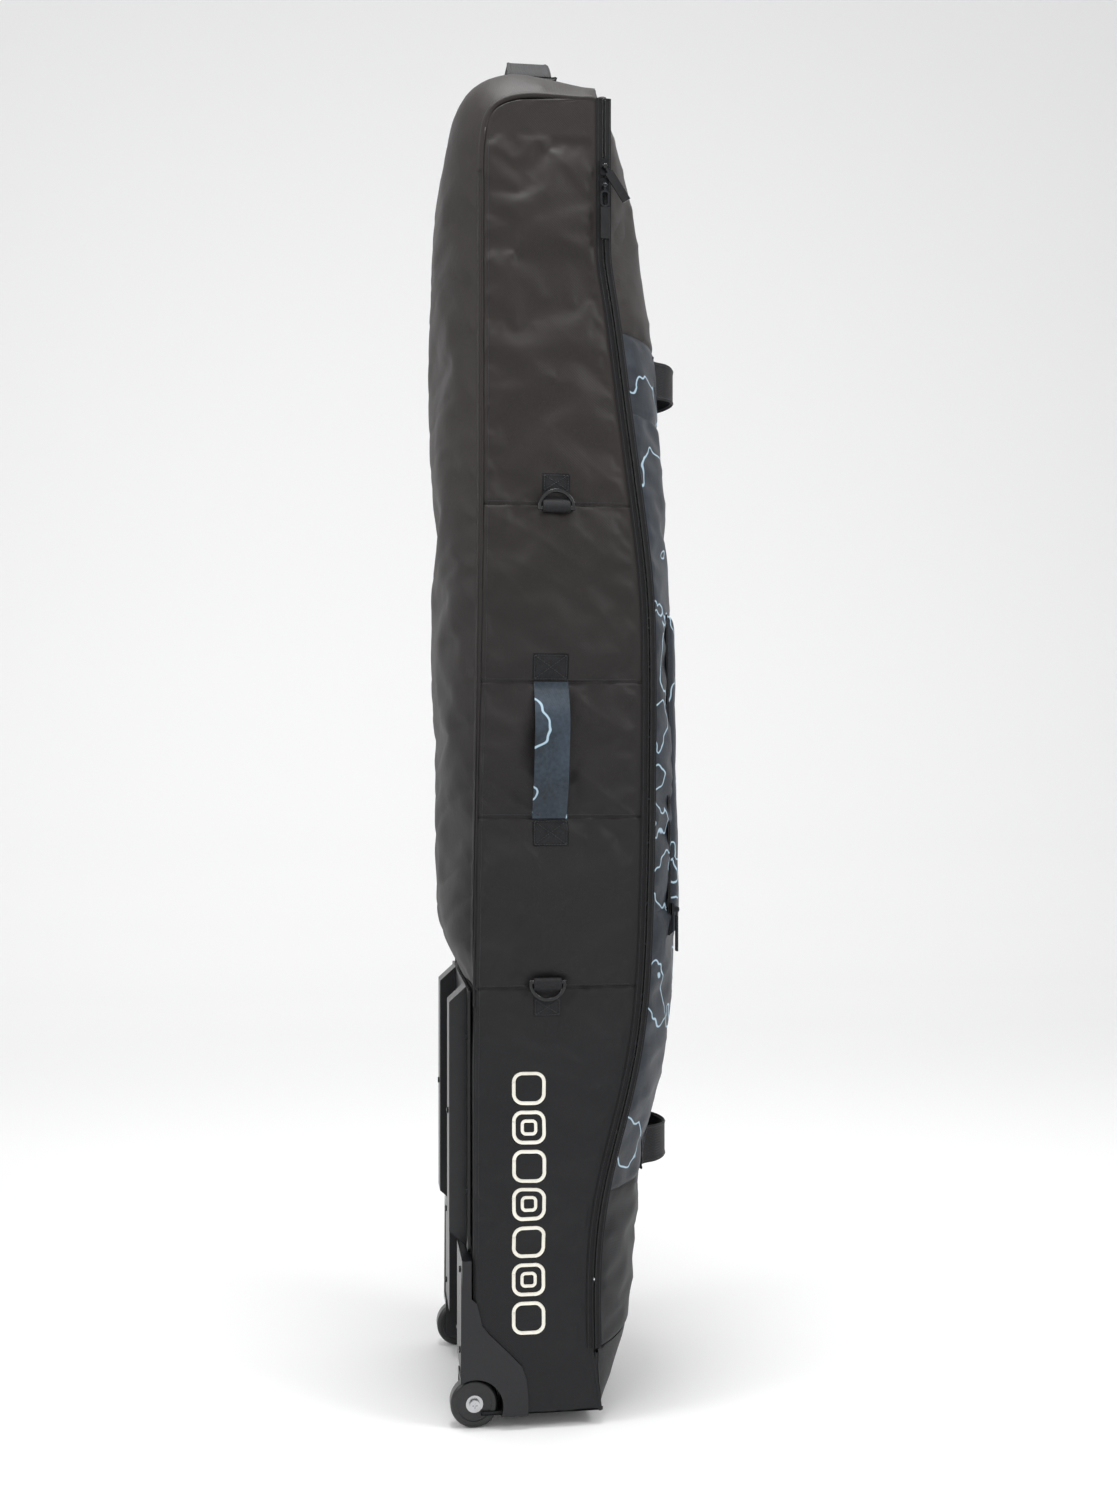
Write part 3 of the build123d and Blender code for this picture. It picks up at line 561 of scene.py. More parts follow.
def spread(values, rows, cols):
    """Values on a coarse grid, taken smoothly to the places rows and cols, each from 0 to 1."""
    r = np.array(rows) * (values.shape[0] - 1)
    c = np.array(cols) * (values.shape[1] - 1)

    def weights(t, count):
        base = np.floor(t).astype(int).clip(0, count - 2)
        f = (t - base)[:, None]
        share = np.concatenate([-f + 2 * f**2 - f**3, 2 - 5 * f**2 + 3 * f**3, f + 4 * f**2 - 3 * f**3,
                                f**3 - f**2], axis=1) / 2
        return (base[:, None] + np.arange(-1, 3)).clip(0, count - 1), share

    ri, rw = weights(r, values.shape[0])
    ci, cw = weights(c, values.shape[1])
    down = (values[ri] * rw[:, :, None, None]).sum(axis=1)
    return (down[:, ci] * cw[None, :, :, None]).sum(axis=2)


def ribbon(name, path, across, width, thick, material, edge=0.35 * MM, columns=9):
    """Strap of webbing along a path; across is its width's direction, one or one for each point.

    Its woven edges stand a little proud of its middle.
    """
    path = np.array(path, float)
    across = np.broadcast_to(np.array(across, float), path.shape)
    width = np.broadcast_to(np.array(width, float), (len(path),))
    share = np.array([-1, -0.93, -0.82, *np.linspace(-0.7, 0.7, columns), 0.82, 0.93, 1])
    grid = path[:, None] + across[:, None] * (share[None, :, None] * width[:, None, None] / 2)
    out = normals(grid)
    proud = edge * bell(np.abs(share) - 0.93, 0.06) - 0.6 * edge * (np.abs(share) == 1)
    return slab(name, grid + out * proud[None, :, None], thick, MATERIALS[material])


def smooth_path(points, count):
    """Points along a smooth curve through a few places."""
    points = np.array(points, float)
    chord = lengths_along(points)
    ahead = np.gradient(points, chord, axis=0)
    wanted = np.linspace(0, chord[-1], count)
    i = np.clip(np.searchsorted(chord, wanted, side="right") - 1, 0, len(points) - 2)
    span = (chord[i + 1] - chord[i])[:, None]
    t = (wanted - chord[i])[:, None] / span
    return ((2 * t**3 - 3 * t**2 + 1) * points[i] + (t**3 - 2 * t**2 + t) * span * ahead[i]
            + (3 * t**2 - 2 * t**3) * points[i + 1] + (t**3 - t**2) * span * ahead[i + 1])


def tube(name, path, radius, material, sides=8):
    """Round cord or piping along a path, with closed ends."""
    path = np.array(path, float)
    ahead = np.gradient(path, axis=0)
    ahead /= np.linalg.norm(ahead, axis=1, keepdims=True)
    up = np.cross(ahead, [1.0, 0.2, 0.1])
    up /= np.linalg.norm(up, axis=1, keepdims=True)
    side = np.cross(ahead, up)
    turn = np.linspace(0, 2 * math.pi, sides, endpoint=False)
    rings = path[:, None] + radius * (up[:, None] * np.cos(turn)[None, :, None]
                                      + side[:, None] * np.sin(turn)[None, :, None])
    points = rings.reshape(-1, 3)
    index = np.arange(len(points)).reshape(len(path), sides)
    after = np.roll(index, -1, axis=1)
    faces = np.stack([index[:-1], after[:-1], after[1:], index[1:]], axis=-1).reshape(-1, 4).tolist()
    faces += [index[0][::-1].tolist(), index[-1].tolist()]
    return mesh_object(name, points, faces, MATERIALS[material])


def box_and_cross(low, high):
    """Sewn box with a cross in it, as strokes in two coordinates."""
    (a, b), (c, d) = low, high
    return [[(a, b), (a, d), (c, d), (c, b), (a, b)], [(a, b), (c, d)], [(a, d), (c, b)]]


def sew(name, skin, strokes, pitch=3.4 * MM, size=(2.8 * MM, 1.0 * MM, 0.9 * MM), material="thread"):
    """Thread along strokes given in a surface's two coordinates."""
    places, along, out = [], [], []
    for stroke in strokes:
        for a, b in zip(stroke, stroke[1:]):
            a, b = np.array(a, float), np.array(b, float)
            count = max(1, round(float(np.linalg.norm(b - a)) / pitch))
            ends = [skin(a + (b - a) * i / count) for i in range(count + 1)]
            for (p, n), (q, _) in zip(ends, ends[1:]):
                places.append((p + q) / 2)
                along.append(q - p)
                out.append(n)
    return bars(name, places, along, out, size, MATERIALS[material])


# ---- side panels ---------------------------------------------------------------------


def side_span(z, side):
    """First and last y of a side panel's cloth at a height."""
    low = at(FRONT_TABLE, z)
    if side > 0:
        low = np.maximum(low, FOLD_Y)
    return low, at(REAR_TABLE, z)


CORNER = 6 * MM  # radius of the shell's long corners


def rounding(from_edge, radius):
    """Depth of a rounded corner that ends at 45 degrees, at a distance from the edge."""
    share = np.clip(0.707 - np.maximum(from_edge, 0) / radius, 0, 0.707)
    return radius * (1 - np.sqrt(1 - share**2))


def side_depth(y, z, side):
    """How far the side panel is drawn in at its seams, in metres."""
    low, high = side_span(z, side)
    depth = rounding(high - y, CORNER) + 0.7 * MM * bell(high - y, 1.6 * MM) * (z < TOP_TURN)
    depth = depth + 0.9 * MM * np.exp(-np.maximum(y - low - 6 * MM, 0) / (7 * MM))
    for seam in SEAMS:
        away = z - seam
        depth = depth + 1.7 * MM * bell(away, 1.6 * MM) + 0.9 * MM * np.exp(-np.abs(away) / (12 * MM))
    return depth


def free_of_housing(y, z):
    """0 where the housing's flange holds the side panel flat, 1 away from it."""
    low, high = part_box("wheel_housing_left")
    fade = 25 * MM
    return np.clip(np.maximum(z - high[2], low[1] - y) / fade, 0, 1)


def side_folds(points, side):
    """Creases and puckers of the side panel, in metres outwards."""
    y, z = points[..., 1], points[..., 2]
    low, high = side_span(z, side)
    seed = 3.7 if side < 0 else 9.2
    busy = 0.25 + 0.75 * np.clip(1 - np.abs(z - 0.74) / 0.3, 0, 1) + 0.35 * bell(z - 1.15, 0.06)
    slanted = creases(points, (0.17, (0, 0.8, 0.6)), (0.05, (0, -0.6, 0.8)), seed)
    steep = creases(points, (0.14, (0, 0.45, -0.9)), (0.055, (0, 0.9, 0.45)), seed + 4)
    fold = busy * (2.6 * MM * slanted - 2.4 * MM * steep + 2.0 * MM * soft_noise(points, 0.09, seed))
    fine = soft_noise(points, 0.024, seed) * 0.3 * MM
    edge = np.minimum(high - y, np.maximum(y - low - 6 * MM, 0))
    ripple = np.exp(-edge / (15 * MM)) * 0.45 * MM * np.sin(z / (6.5 * MM) + 2.5 * np.sin(z / (31 * MM)))
    for seam in SEAMS:
        near = np.exp(-np.abs(z - seam) / (13 * MM))
        ripple = ripple + near * 0.5 * MM * np.sin(y / (5.5 * MM) + 3 * np.sin(y / (17 * MM) + seam * 40))
    return (fold + fine + ripple) * np.clip(edge / (10 * MM), 0, 1) * free_of_housing(y, z)


SIDE_MOVED = {}
TOP_TURN = ZIP_TOP - 45 * MM  # height where the rear seam turns over the crown
SEWN_ABOVE = 1.66  # the side panels are held flat by the crown above this height


def side_grid(rows, cols, side):
    """Flat points of a side panel at heights rows and shares cols of its width."""
    z = rows[:, None] + 0 * cols[None]
    low, high = side_span(z, side)
    y = low + (high - low) * cols[None]
    return np.stack([np.full(z.shape, side * SIDE_X), y, z], axis=-1)


def side_face(rows, cols, side):
    """Outer face of a side panel at heights rows and shares cols of its width."""
    grid = side_grid(rows, cols, side)
    place_in = (rows - BASE_Z) / (ZIP_TOP - BASE_Z)
    moved = spread(SIDE_MOVED[side], place_in, cols)
    out = -side_depth(grid[..., 1], grid[..., 2], side) + side_folds(grid, side)
    grid = grid + moved
    grid[..., 0] += side * out
    return grid


def side_skin(side, lift=0.0):
    """Function from (y, z) to a point on the side panel and its outward direction."""
    def point(p):
        y, z = p
        low, high = side_span(z, side)
        share = np.array([min(max((y - low) / (high - low), 0), 1)])
        return side_face(np.array([z]), share, side)[0, 0] + [side * lift, 0, 0], np.array([side, 0.0, 0.0])
    return point


def build_side(side, name):
    coarse_rows = np.linspace(BASE_Z, ZIP_TOP, 230)
    coarse_cols = np.linspace(0, 1, 28)
    coarse = side_grid(coarse_rows, coarse_cols, side)
    pinned = np.zeros(coarse.shape[:2], bool)
    pinned[:, :2] = pinned[:, -1:] = True
    pinned[0] = pinned[-1] = True
    pinned[coarse_rows > SEWN_ABOVE] = True
    for seam in SEAMS:
        pinned[np.abs(coarse_rows - seam).argmin()] = True
    pinned |= free_of_housing(coarse[..., 1], coarse[..., 2]) < 0.5
    turned = slice(None, None, -side)  # the right panel is mirrored, so that its normals point out too
    SIDE_MOVED[side] = settle(coarse[:, turned], pinned[:, turned], 0.010, 0.25)[:, turned]
    rows = steps(BASE_Z + 6 * MM, ZIP_TOP - 0.2 * MM, 3.6 * MM, [*SEAMS, ZIP_TOP - 24 * MM], reach=7 * MM)
    cols = np.concatenate([np.linspace(0, 0.06, 8)[:-1], np.linspace(0.06, 0.94, 56),
                           np.linspace(0.94, 1, 8)[1:]])
    grid = side_face(rows, cols, side)
    flat = side_grid(rows, cols, side)
    flat[..., 0] -= side * 5.4 * MM
    piece = slab(f"side_fabric_{name}", grid, 0.0, MATERIALS["cloth"], outward=-side, base=flat)
    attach(piece, "shell")
    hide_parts(*[f"side_{name}_{part}" for part in SEAM_NODES])
    skin = side_skin(side, 0.15 * MM)
    strokes = []
    for seam in SEAMS:
        low, high = side_span(seam, side)
        strokes.append([(y, seam + 4 * MM) for y in np.linspace(low + 10 * MM, high - 6 * MM, 24)])
    rear = [(at(REAR_TABLE, z) - 6.5 * MM, z) for z in np.linspace(BASE_Z + 0.21, SEWN_ABOVE, 160)]
    threads = sew(f"side_stitching_{name}", skin, [*strokes, rear], size=(2.6 * MM, 0.7 * MM, 0.5 * MM))
    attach(threads, "shell")


# ---- back, boot and base -------------------------------------------------------------


def shell_face(tree, xs, inner_x, core_y, top_y, headroom, way, fan, marks, sizes):
    """Rows of points over a shell: one column for each x, its rows split at the heights in marks.

    Columns outside inner_x take the shell's outline there, since its own edge is rounded.
    """
    columns = []
    for x in xs:
        sample_x = min(max(x, -inner_x), inner_x)
        high = cast(tree, (sample_x, top_y, 3.0), (0, 0, -1))[2] - headroom
        line = profile(tree, sample_x, core_y, marks[0], high, way, 0, fan)
        line[:, 0] = x
        cuts = [length_at(line, mark) for mark in marks]
        columns.append([resample(line, ends, f) for ends, f in zip(zip(cuts, cuts[1:]), sizes)])
    return [np.stack([column[i] for column in columns], axis=1) for i in range(len(sizes))]


def fractions(length, size, fine=1.2 * MM, reach=7 * MM):
    """Shares of a length, closer together near its two ends."""
    return steps(0, length, size, (0, length), fine, reach) / length


def tuck(shares, length, depth=2.2 * MM, width=2.4 * MM):
    """How deep each row of a panel rolls in where its two ends are sewn."""
    from_end = np.minimum(shares, 1 - shares) * length
    return (depth * np.exp(-from_end / width))[:, None]


def back_folds(points):
    """Padded back: horizontal and V-shaped creases between the plate's top and the shoulder."""
    x, z = points[..., 0], points[..., 2]
    busy = 0.3 + 0.7 * bell(z - 0.72, 0.16) + 0.3 * bell(z - 1.15, 0.1)
    vee = points.copy()
    vee[..., 2] = z - 0.35 * np.abs(x)
    fold = creases(vee, (0.3, (1, 0, 0)), (0.05, (0, 0, 1)), 41.0)
    swell = soft_noise(points, 0.12, 42.0)
    fine = soft_noise(points, 0.03, 43.0)
    return busy * (-3.0 * MM * fold + 1.8 * MM * swell) + 0.5 * MM * fine


def build_back():
    """Padded back in two lengths: flat behind the plate, and puffed from there over the crown."""
    half = 169 * MM
    xs = steps(-half, half, 9 * MM, (-half, half), 1.6 * MM, 14 * MM)
    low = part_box("back_panel")[0][2] + MM
    lengths = (PLATE_TOP - low, 1.35)
    sizes = [fractions(lengths[0], 6 * MM), fractions(lengths[1], 5 * MM)]
    marks = (low, PLATE_TOP, None)
    lower, upper = shell_face(BACK, xs, 163.4 * MM, 20 * MM, 20 * MM, 118 * MM, 1, 2.9, marks, sizes)
    edge = np.exp(-(half - np.abs(xs)) / (5 * MM))[None]
    corner = rounding(half - np.abs(xs)[None], CORNER)
    sew_back("lower", lower, lower - normals(lower) * (tuck(sizes[0], lengths[0]) + corner)[..., None])

    share, out = sizes[1], normals(upper)
    depth = tuck(share, lengths[1]) + corner
    fade = np.clip((1 - share) * lengths[1] / (60 * MM), 0, 1)[:, None]
    puff = back_folds(upper) * (1 - edge) * fade
    across = (xs - xs[0]) / (xs[-1] - xs[0])
    coarse, pins = coarse_cloth(upper, share, across, 120, 24)
    moved = spread(settle(coarse, pins, 0.006, 0.25), share, across)
    grid = upper + moved * (fade * (1 - edge))[..., None]
    piece = sew_back("upper", grid, grid + out * (puff - depth)[..., None])
    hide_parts("back_panel")
    for column, (side_name, side) in zip((0, -1), SIDES.items()):
        over = grid[:, column, 2] > TOP_TURN - 60 * MM
        seam = (grid - 4.2 * MM * out)[over, column]
        seam[:, 0] = side * (SIDE_X - 4.6 * MM)
        roll = tube(f"crown_seam_{side_name}", seam, 4.6 * MM, "cloth")
        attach(roll, "shell")


def sew_back(name, base, skin):
    """One length of the back's cloth and its foam."""
    piece = slab(f"back_fabric_{name}", skin, 5 * MM, MATERIALS["cloth"], base=base)
    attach(piece, "shell")
    return piece


def coarse_cloth(grid, down, across, rows, cols):
    """An even, coarser copy of a grid for the cloth to settle on, and its pins: its outer edges."""
    row = np.interp(np.linspace(0, 1, rows), down, np.linspace(0, 1, len(down)))
    col = np.interp(np.linspace(0, 1, cols), across, np.linspace(0, 1, len(across)))
    pins = np.zeros((rows, cols), bool)
    pins[0] = pins[-1] = pins[:, 0] = pins[:, -1] = True
    return spread(grid, row, col), pins


def build_boot():
    xs = steps(-168.6 * MM, 168.6 * MM, 9 * MM, (-168.6 * MM, 168.6 * MM), 1.6 * MM, 12 * MM)
    low, high = (corner[2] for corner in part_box("boot_front"))
    share = fractions(0.11, 3 * MM)
    grid = boot_grid(xs, low, high, share)
    out = -normals(grid)
    edge = np.exp(-(168.6 * MM - np.abs(xs)) / (4 * MM))[None]
    puff = soft_noise(grid, 0.05, 51.0) * 1.4 * MM + soft_noise(grid, 0.02, 52.0) * 0.4 * MM
    skin = grid + out * (puff * (1 - edge) - tuck(share, 0.11) - 0.3 * MM * edge)[..., None]
    piece = slab("boot_fabric", skin, 5 * MM, MATERIALS["cloth"], outward=-1, base=grid)
    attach(piece, "shell")
    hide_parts("boot_front")


def boot_grid(xs, low, high, share):
    """Rows of points down the boot's front, one column for each x."""
    columns = []
    for x in xs:
        sample_x = min(max(x, -163.2 * MM), 163.2 * MM)
        line = profile(BOOT, sample_x, -25 * MM, low + 20 * MM, high - 0.3 * MM, -1, 1.2, 0)
        line[:, 0] = x
        columns.append(resample(line, (0, length_at(line, None)), share))
    return np.stack(columns, axis=1)


def build_base():
    low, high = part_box("base_panel")
    xs = steps(low[0], high[0], 20 * MM, (low[0], high[0]), 1.5 * MM, 6 * MM)
    ys = steps(low[1], high[1], 20 * MM, (low[1], high[1]), 1.5 * MM, 6 * MM)
    x, y = np.meshgrid(xs, ys, indexing="ij")
    rim = np.minimum(np.minimum(x - low[0], high[0] - x), np.minimum(y - low[1], high[1] - y))
    z = low[2] + 1.6 * MM * np.exp(-rim / (2 * MM))
    piece = slab("base_fabric", np.stack([x, y, z], axis=-1), 4.6 * MM, MATERIALS["cloth"], outward=-1)
    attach(piece, "shell")
    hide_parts("base_panel")
    path = [(x, low[1] + 2.5 * MM, low[2] + 3 * MM) for x in (low[0] + 6 * MM, high[0] - 6 * MM)]
    welt = tube("base_binding", smooth_path(path, 30), 2.2 * MM, "piping")
    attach(welt, "shell")


def build_piping():
    zs = np.linspace(PLATE_TOP - 20 * MM, TOP_TURN, 120)
    for name, side in SIDES.items():
        low_zs = np.linspace(BASE_Z + 3 * MM, LID_LOW + 6 * MM, 30)
        front = [(side * (SIDE_X - 2.6 * MM), at(FRONT_TABLE, z) - 0.5 * MM, z) for z in low_zs]
        seam = tube(f"boot_welt_{name}", front, 2.6 * MM, "cloth")
        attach(seam, "shell")
        path = [(side * (SIDE_X - 1.2 * MM), at(REAR_TABLE, z) + 0.6 * MM, z) for z in zs]
        welt = tube(f"back_welt_{name}", path, 1.3 * MM, "cloth")
        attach(welt, "shell")
        if side < 0:
            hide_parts("back_piping")


# ---- lid -----------------------------------------------------------------------------


def lid_folds(points):
    """Swell and creases of the lid's cloth, in metres outwards, fading towards its two sides."""
    x = points[..., 0]
    swell = soft_noise(points, 0.11, 21.0) * 1.8 * MM
    fine = soft_noise(points, 0.03, 22.0) * 0.5 * MM
    fold = creases(points, (0.15, (0.9, 0, 0.3)), (0.055, (-0.3, 0, 0.95)), 23.0) * 1.5 * MM
    fade = np.clip((SIDE_X - np.abs(x)) / (25 * MM), 0.15, 1)
    return (swell + fine + fold) * fade


def build_lid():
    rim = SIDE_X - 0.6 * MM
    xs = steps(-rim, rim, 7 * MM, (-rim, rim), 1.6 * MM, 14 * MM)
    low = LID_LOW + MM
    middle = bpy.context.scene.bag.lower_seam
    upper = bpy.context.scene.bag.upper_seam
    marks = (low, PRINT_LOW, middle, upper, PRINT_HIGH, None)
    lengths = [b - a for a, b in zip(marks, marks[1:-1])] + [0.36]
    sizes = [fractions(length, 5 * MM) for length in lengths]
    names = ("toe", "print_low", "print_middle", "print_high", "crown")
    grids = shell_face(LID, xs, 165.6 * MM, -40 * MM, -88 * MM, 70 * MM, -1, 1.5, marks, sizes)
    whole = np.concatenate([grids[0], *[g[1:] for g in grids[1:]]])
    down = lengths_along(whole[:, len(xs) // 2])
    down /= down[-1]
    across = (xs - xs[0]) / (xs[-1] - xs[0])
    sample, pins = coarse_cloth(whole, down, across, 250, 34)
    for mark in marks[1:-1]:
        pins[np.abs(sample[:, 17, 2] - mark).argmin()] = True
    moved = settle(sample[:, ::-1], pins[:, ::-1], 0.008, 0.25)[:, ::-1]
    done = 0
    for name, grid, share, length in zip(names, grids, sizes, lengths):
        rows = down[done:done + len(grid)]
        done += len(grid) - 1
        shifted = grid + spread(moved, rows, across)
        edge = np.exp(-(rim - np.abs(xs)) / (4 * MM))[None]
        top = np.clip((1 - share) * length / (30 * MM), 0, 1)[:, None] if name == "crown" else 1
        low_end = np.clip(share * length / (12 * MM), 0, 1)[:, None] if name == "toe" else 1
        puff = lid_folds(grid) * top * low_end
        out = -normals(grid)
        skin = shifted + out * (puff - tuck(share, length, 1.8 * MM) - 1.5 * MM * edge)[..., None]
        finish = "printed" if name.startswith("print") else "cloth"
        piece = slab(f"lid_fabric_{name}", skin, 4.4 * MM, MATERIALS[finish], outward=-1, base=grid)
        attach(piece, "lid")
        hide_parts(*{"toe": ["lid_toe_panel"], "print_middle": ["lid_print_panel"],
                             "crown": ["lid_crown_panel"]}.get(name, []))


def lid_skin(lift):
    """Function from (x, z) to a point on the lid's smooth face, lifted off it, and its outward direction."""
    def point(p):
        x, z = p
        hit = cast(LID, (x, -0.6, z), (0, 1, 0))
        right = cast(LID, (x + 2 * MM, -0.6, z), (0, 1, 0))
        over = cast(LID, (x, -0.6, z + 2 * MM), (0, 1, 0))
        out = np.cross(right - hit, over - hit)
        out /= np.linalg.norm(out)
        return hit + out * lift, out
    return point


def build_far_side():
    """The lid's flat return on the far side, and the cloth that folds between it and the side panel."""
    zs = steps(LID_LOW + MM, ZIP_TOP - 1.0 * MM, 6 * MM, (ZIP_TOP - 12 * MM,), reach=10 * MM)
    share = np.linspace(0, 1, 22)
    high = FOLD_Y - 8 * MM
    low = at(RETURN_TABLE, zs)
    keep = low < high - 3 * MM
    zs, low = zs[keep], low[keep]
    y = low[:, None] + (high - low[:, None]) * share[None]
    z = zs[:, None] + 0 * y
    grid = np.stack([np.full(y.shape, SIDE_X), y, z], axis=-1)
    puff = soft_noise(grid, 0.08, 61.0) * 0.8 * MM + soft_noise(grid, 0.025, 62.0) * 0.3 * MM
    rim = 2.2 * MM * np.exp(-(y - low[:, None]) / (3 * MM))
    skin = grid + np.stack([puff - rim - MM, 0 * y, 0 * y], axis=-1)
    piece = slab("far_return_fabric", skin, 4.4 * MM, MATERIALS["cloth"], outward=-1, base=grid)
    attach(piece, "lid")
    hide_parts("lid_side_return")
    zs = steps(float(zs[0]), ZIP_TOP - 14 * MM, 10 * MM)
    ys = np.linspace(FOLD_Y - 9 * MM, FOLD_Y + 9 * MM, 13)
    y, z = ys[None] + 0 * zs[:, None], zs[:, None] + 0 * ys[None]
    grid = np.stack([SIDE_X - 0.5 * MM + 0.5 * MM * np.cos((y - FOLD_Y) / (3 * MM)), y, z], axis=-1)
    strip = slab("fold_fabric", grid, 1.6 * MM, MATERIALS["cloth"], outward=-1)
    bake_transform(strip)


# ---- zips ----------------------------------------------------------------------------


def zip_path(offset, count=420):
    """Line along the main zip, offset metres behind its slit, as y and z."""
    zs = np.linspace(LID_LOW + MM, ZIP_TOP - 0.3 * MM, count)
    return np.stack([at(ZIP_TABLE, zs) + offset, zs], axis=1)


def tape_skin(p):
    """Point on the zip tape at (y, z), and its outward direction."""
    return np.array([-SIDE_X - 1.3 * MM, p[0], p[1]]), np.array([-1.0, 0, 0])


def build_zip():
    """Tape, teeth and stitching on each side of the main zip's slit."""
    face = -SIDE_X - 0.7 * MM
    for owner, way in (("shell", 1), ("lid", -1)):
        line = zip_path(0)
        near, far = line[:, 0] + way * 1.3 * MM, line[:, 0] + way * 9.6 * MM
        share = np.array([0, 0.06, 0.14, 0.3, 0.5, 0.7, 0.86, 0.94, 1])
        y = near[:, None] + (far - near)[:, None] * share[None]
        z = line[:, 1][:, None] + 0 * y
        x = face - 0.9 * MM * np.exp(-share / 0.12)[None] + 0 * y
        x = x + (0.5 * MM * soft_noise(np.stack([x, y, z], axis=-1), 25 * MM, 71.0)) * share[None]
        if way < 0:
            x = x + 2.2 * MM * np.maximum(share - 0.55, 0)[None] ** 1.5
        grid = np.stack([x, y, z], axis=-1)
        tape = slab(f"zip_tape_cloth_{owner}", grid, 0.9 * MM, MATERIALS["tape"], outward=way)
        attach(tape, owner)
        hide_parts(f"zip_tape_{owner}")
        edge = zip_path(way * 1.6 * MM)
        pitch = 2.1 * MM
        length = lengths_along(edge)
        count = int(length[-1] / pitch)
        spots = (np.arange(count) + (0.5 if way < 0 else 0)) * pitch
        y, z = np.interp(spots, length, edge[:, 0]), np.interp(spots, length, edge[:, 1])
        places = [(face - 1.6 * MM, a, b) for a, b in zip(y, z)]
        ahead = [(0, 1, 0)] * count
        teeth = bars(f"zip_teeth_{owner}", places, ahead, [(-1, 0, 0)] * count,
                     (2.5 * MM, 1.4 * MM, 1.8 * MM), MATERIALS["coil"])
        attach(teeth, owner)
        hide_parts(f"zip_coil_{owner}")
        seam = zip_path(way * 7.4 * MM, 170)
        threads = sew(f"zip_stitching_{owner}", tape_skin, [seam], size=(2.6 * MM, 0.6 * MM, 0.5 * MM))
        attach(threads, owner)


# ---- handles and rings ---------------------------------------------------------------


def build_side_handle(side, name):
    low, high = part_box(f"side_handle_{name}")
    middle = (low[1] + high[1]) / 2
    width = high[1] - low[1]
    rise = high[0] - SIDE_X if side > 0 else -low[0] - SIDE_X
    patch = 37 * MM
    z0, z1 = low[2], high[2]
    # strap profile: sewn down at both ends, and bowed out between them
    shape = [(0.4 * MM, z0 - MM), (1.4 * MM, z0 + 4 * MM), (7 * MM, z0 + 15 * MM),
             (rise * 0.76, z0 + 38 * MM), (rise * 0.97, (z0 + z1) / 2), (rise * 0.76, z1 - 38 * MM),
             (7 * MM, z1 - 15 * MM), (1.4 * MM, z1 - 4 * MM), (0.4 * MM, z1 + MM)]
    path = smooth_path([(side * (SIDE_X + r), middle, z) for r, z in shape], 110)
    path[:, 1] += 1.2 * MM * np.sin(path[:, 2] / (40 * MM))
    strap = ribbon(f"side_handle_strap_{name}", path, (0, -side, 0), width, 2.4 * MM, "printed_webbing",
                   columns=11)
    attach(strap, "shell")
    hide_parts(f"side_handle_{name}")
    for number, (a, b) in enumerate(((z0 - patch, z0 - 2 * MM), (z1 + 2 * MM, z1 + patch))):
        sew_patch(f"side_handle_patch_{number}_{name}", side, middle, width + 1.5 * MM, a, b)


def sew_patch(name, side, middle, width, low, high):
    """Square of webbing that follows the side panel, with a sewn box and cross on it."""
    skin = side_skin(side, 0.8 * MM)
    rows, cols = np.linspace(low, high, 12), np.linspace(middle - width / 2, middle + width / 2, 14)
    grid = np.array([[skin((y, z))[0] for y in cols] for z in rows])
    rim = np.ones(grid.shape[:2], bool)
    rim[1:-1, 1:-1] = False
    grid[rim, 0] -= side * 0.8 * MM
    piece = slab(name, grid, 0.9 * MM, MATERIALS["webbing"], outward=-side)
    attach(piece, "shell")
    inside = width / 2 - 2.5 * MM
    strokes = box_and_cross((middle - inside, low + 2.5 * MM), (middle + inside, high - 2.5 * MM))
    threads = sew(f"{name}_stitching", side_skin(side, 1.1 * MM), strokes)
    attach(threads, "shell")


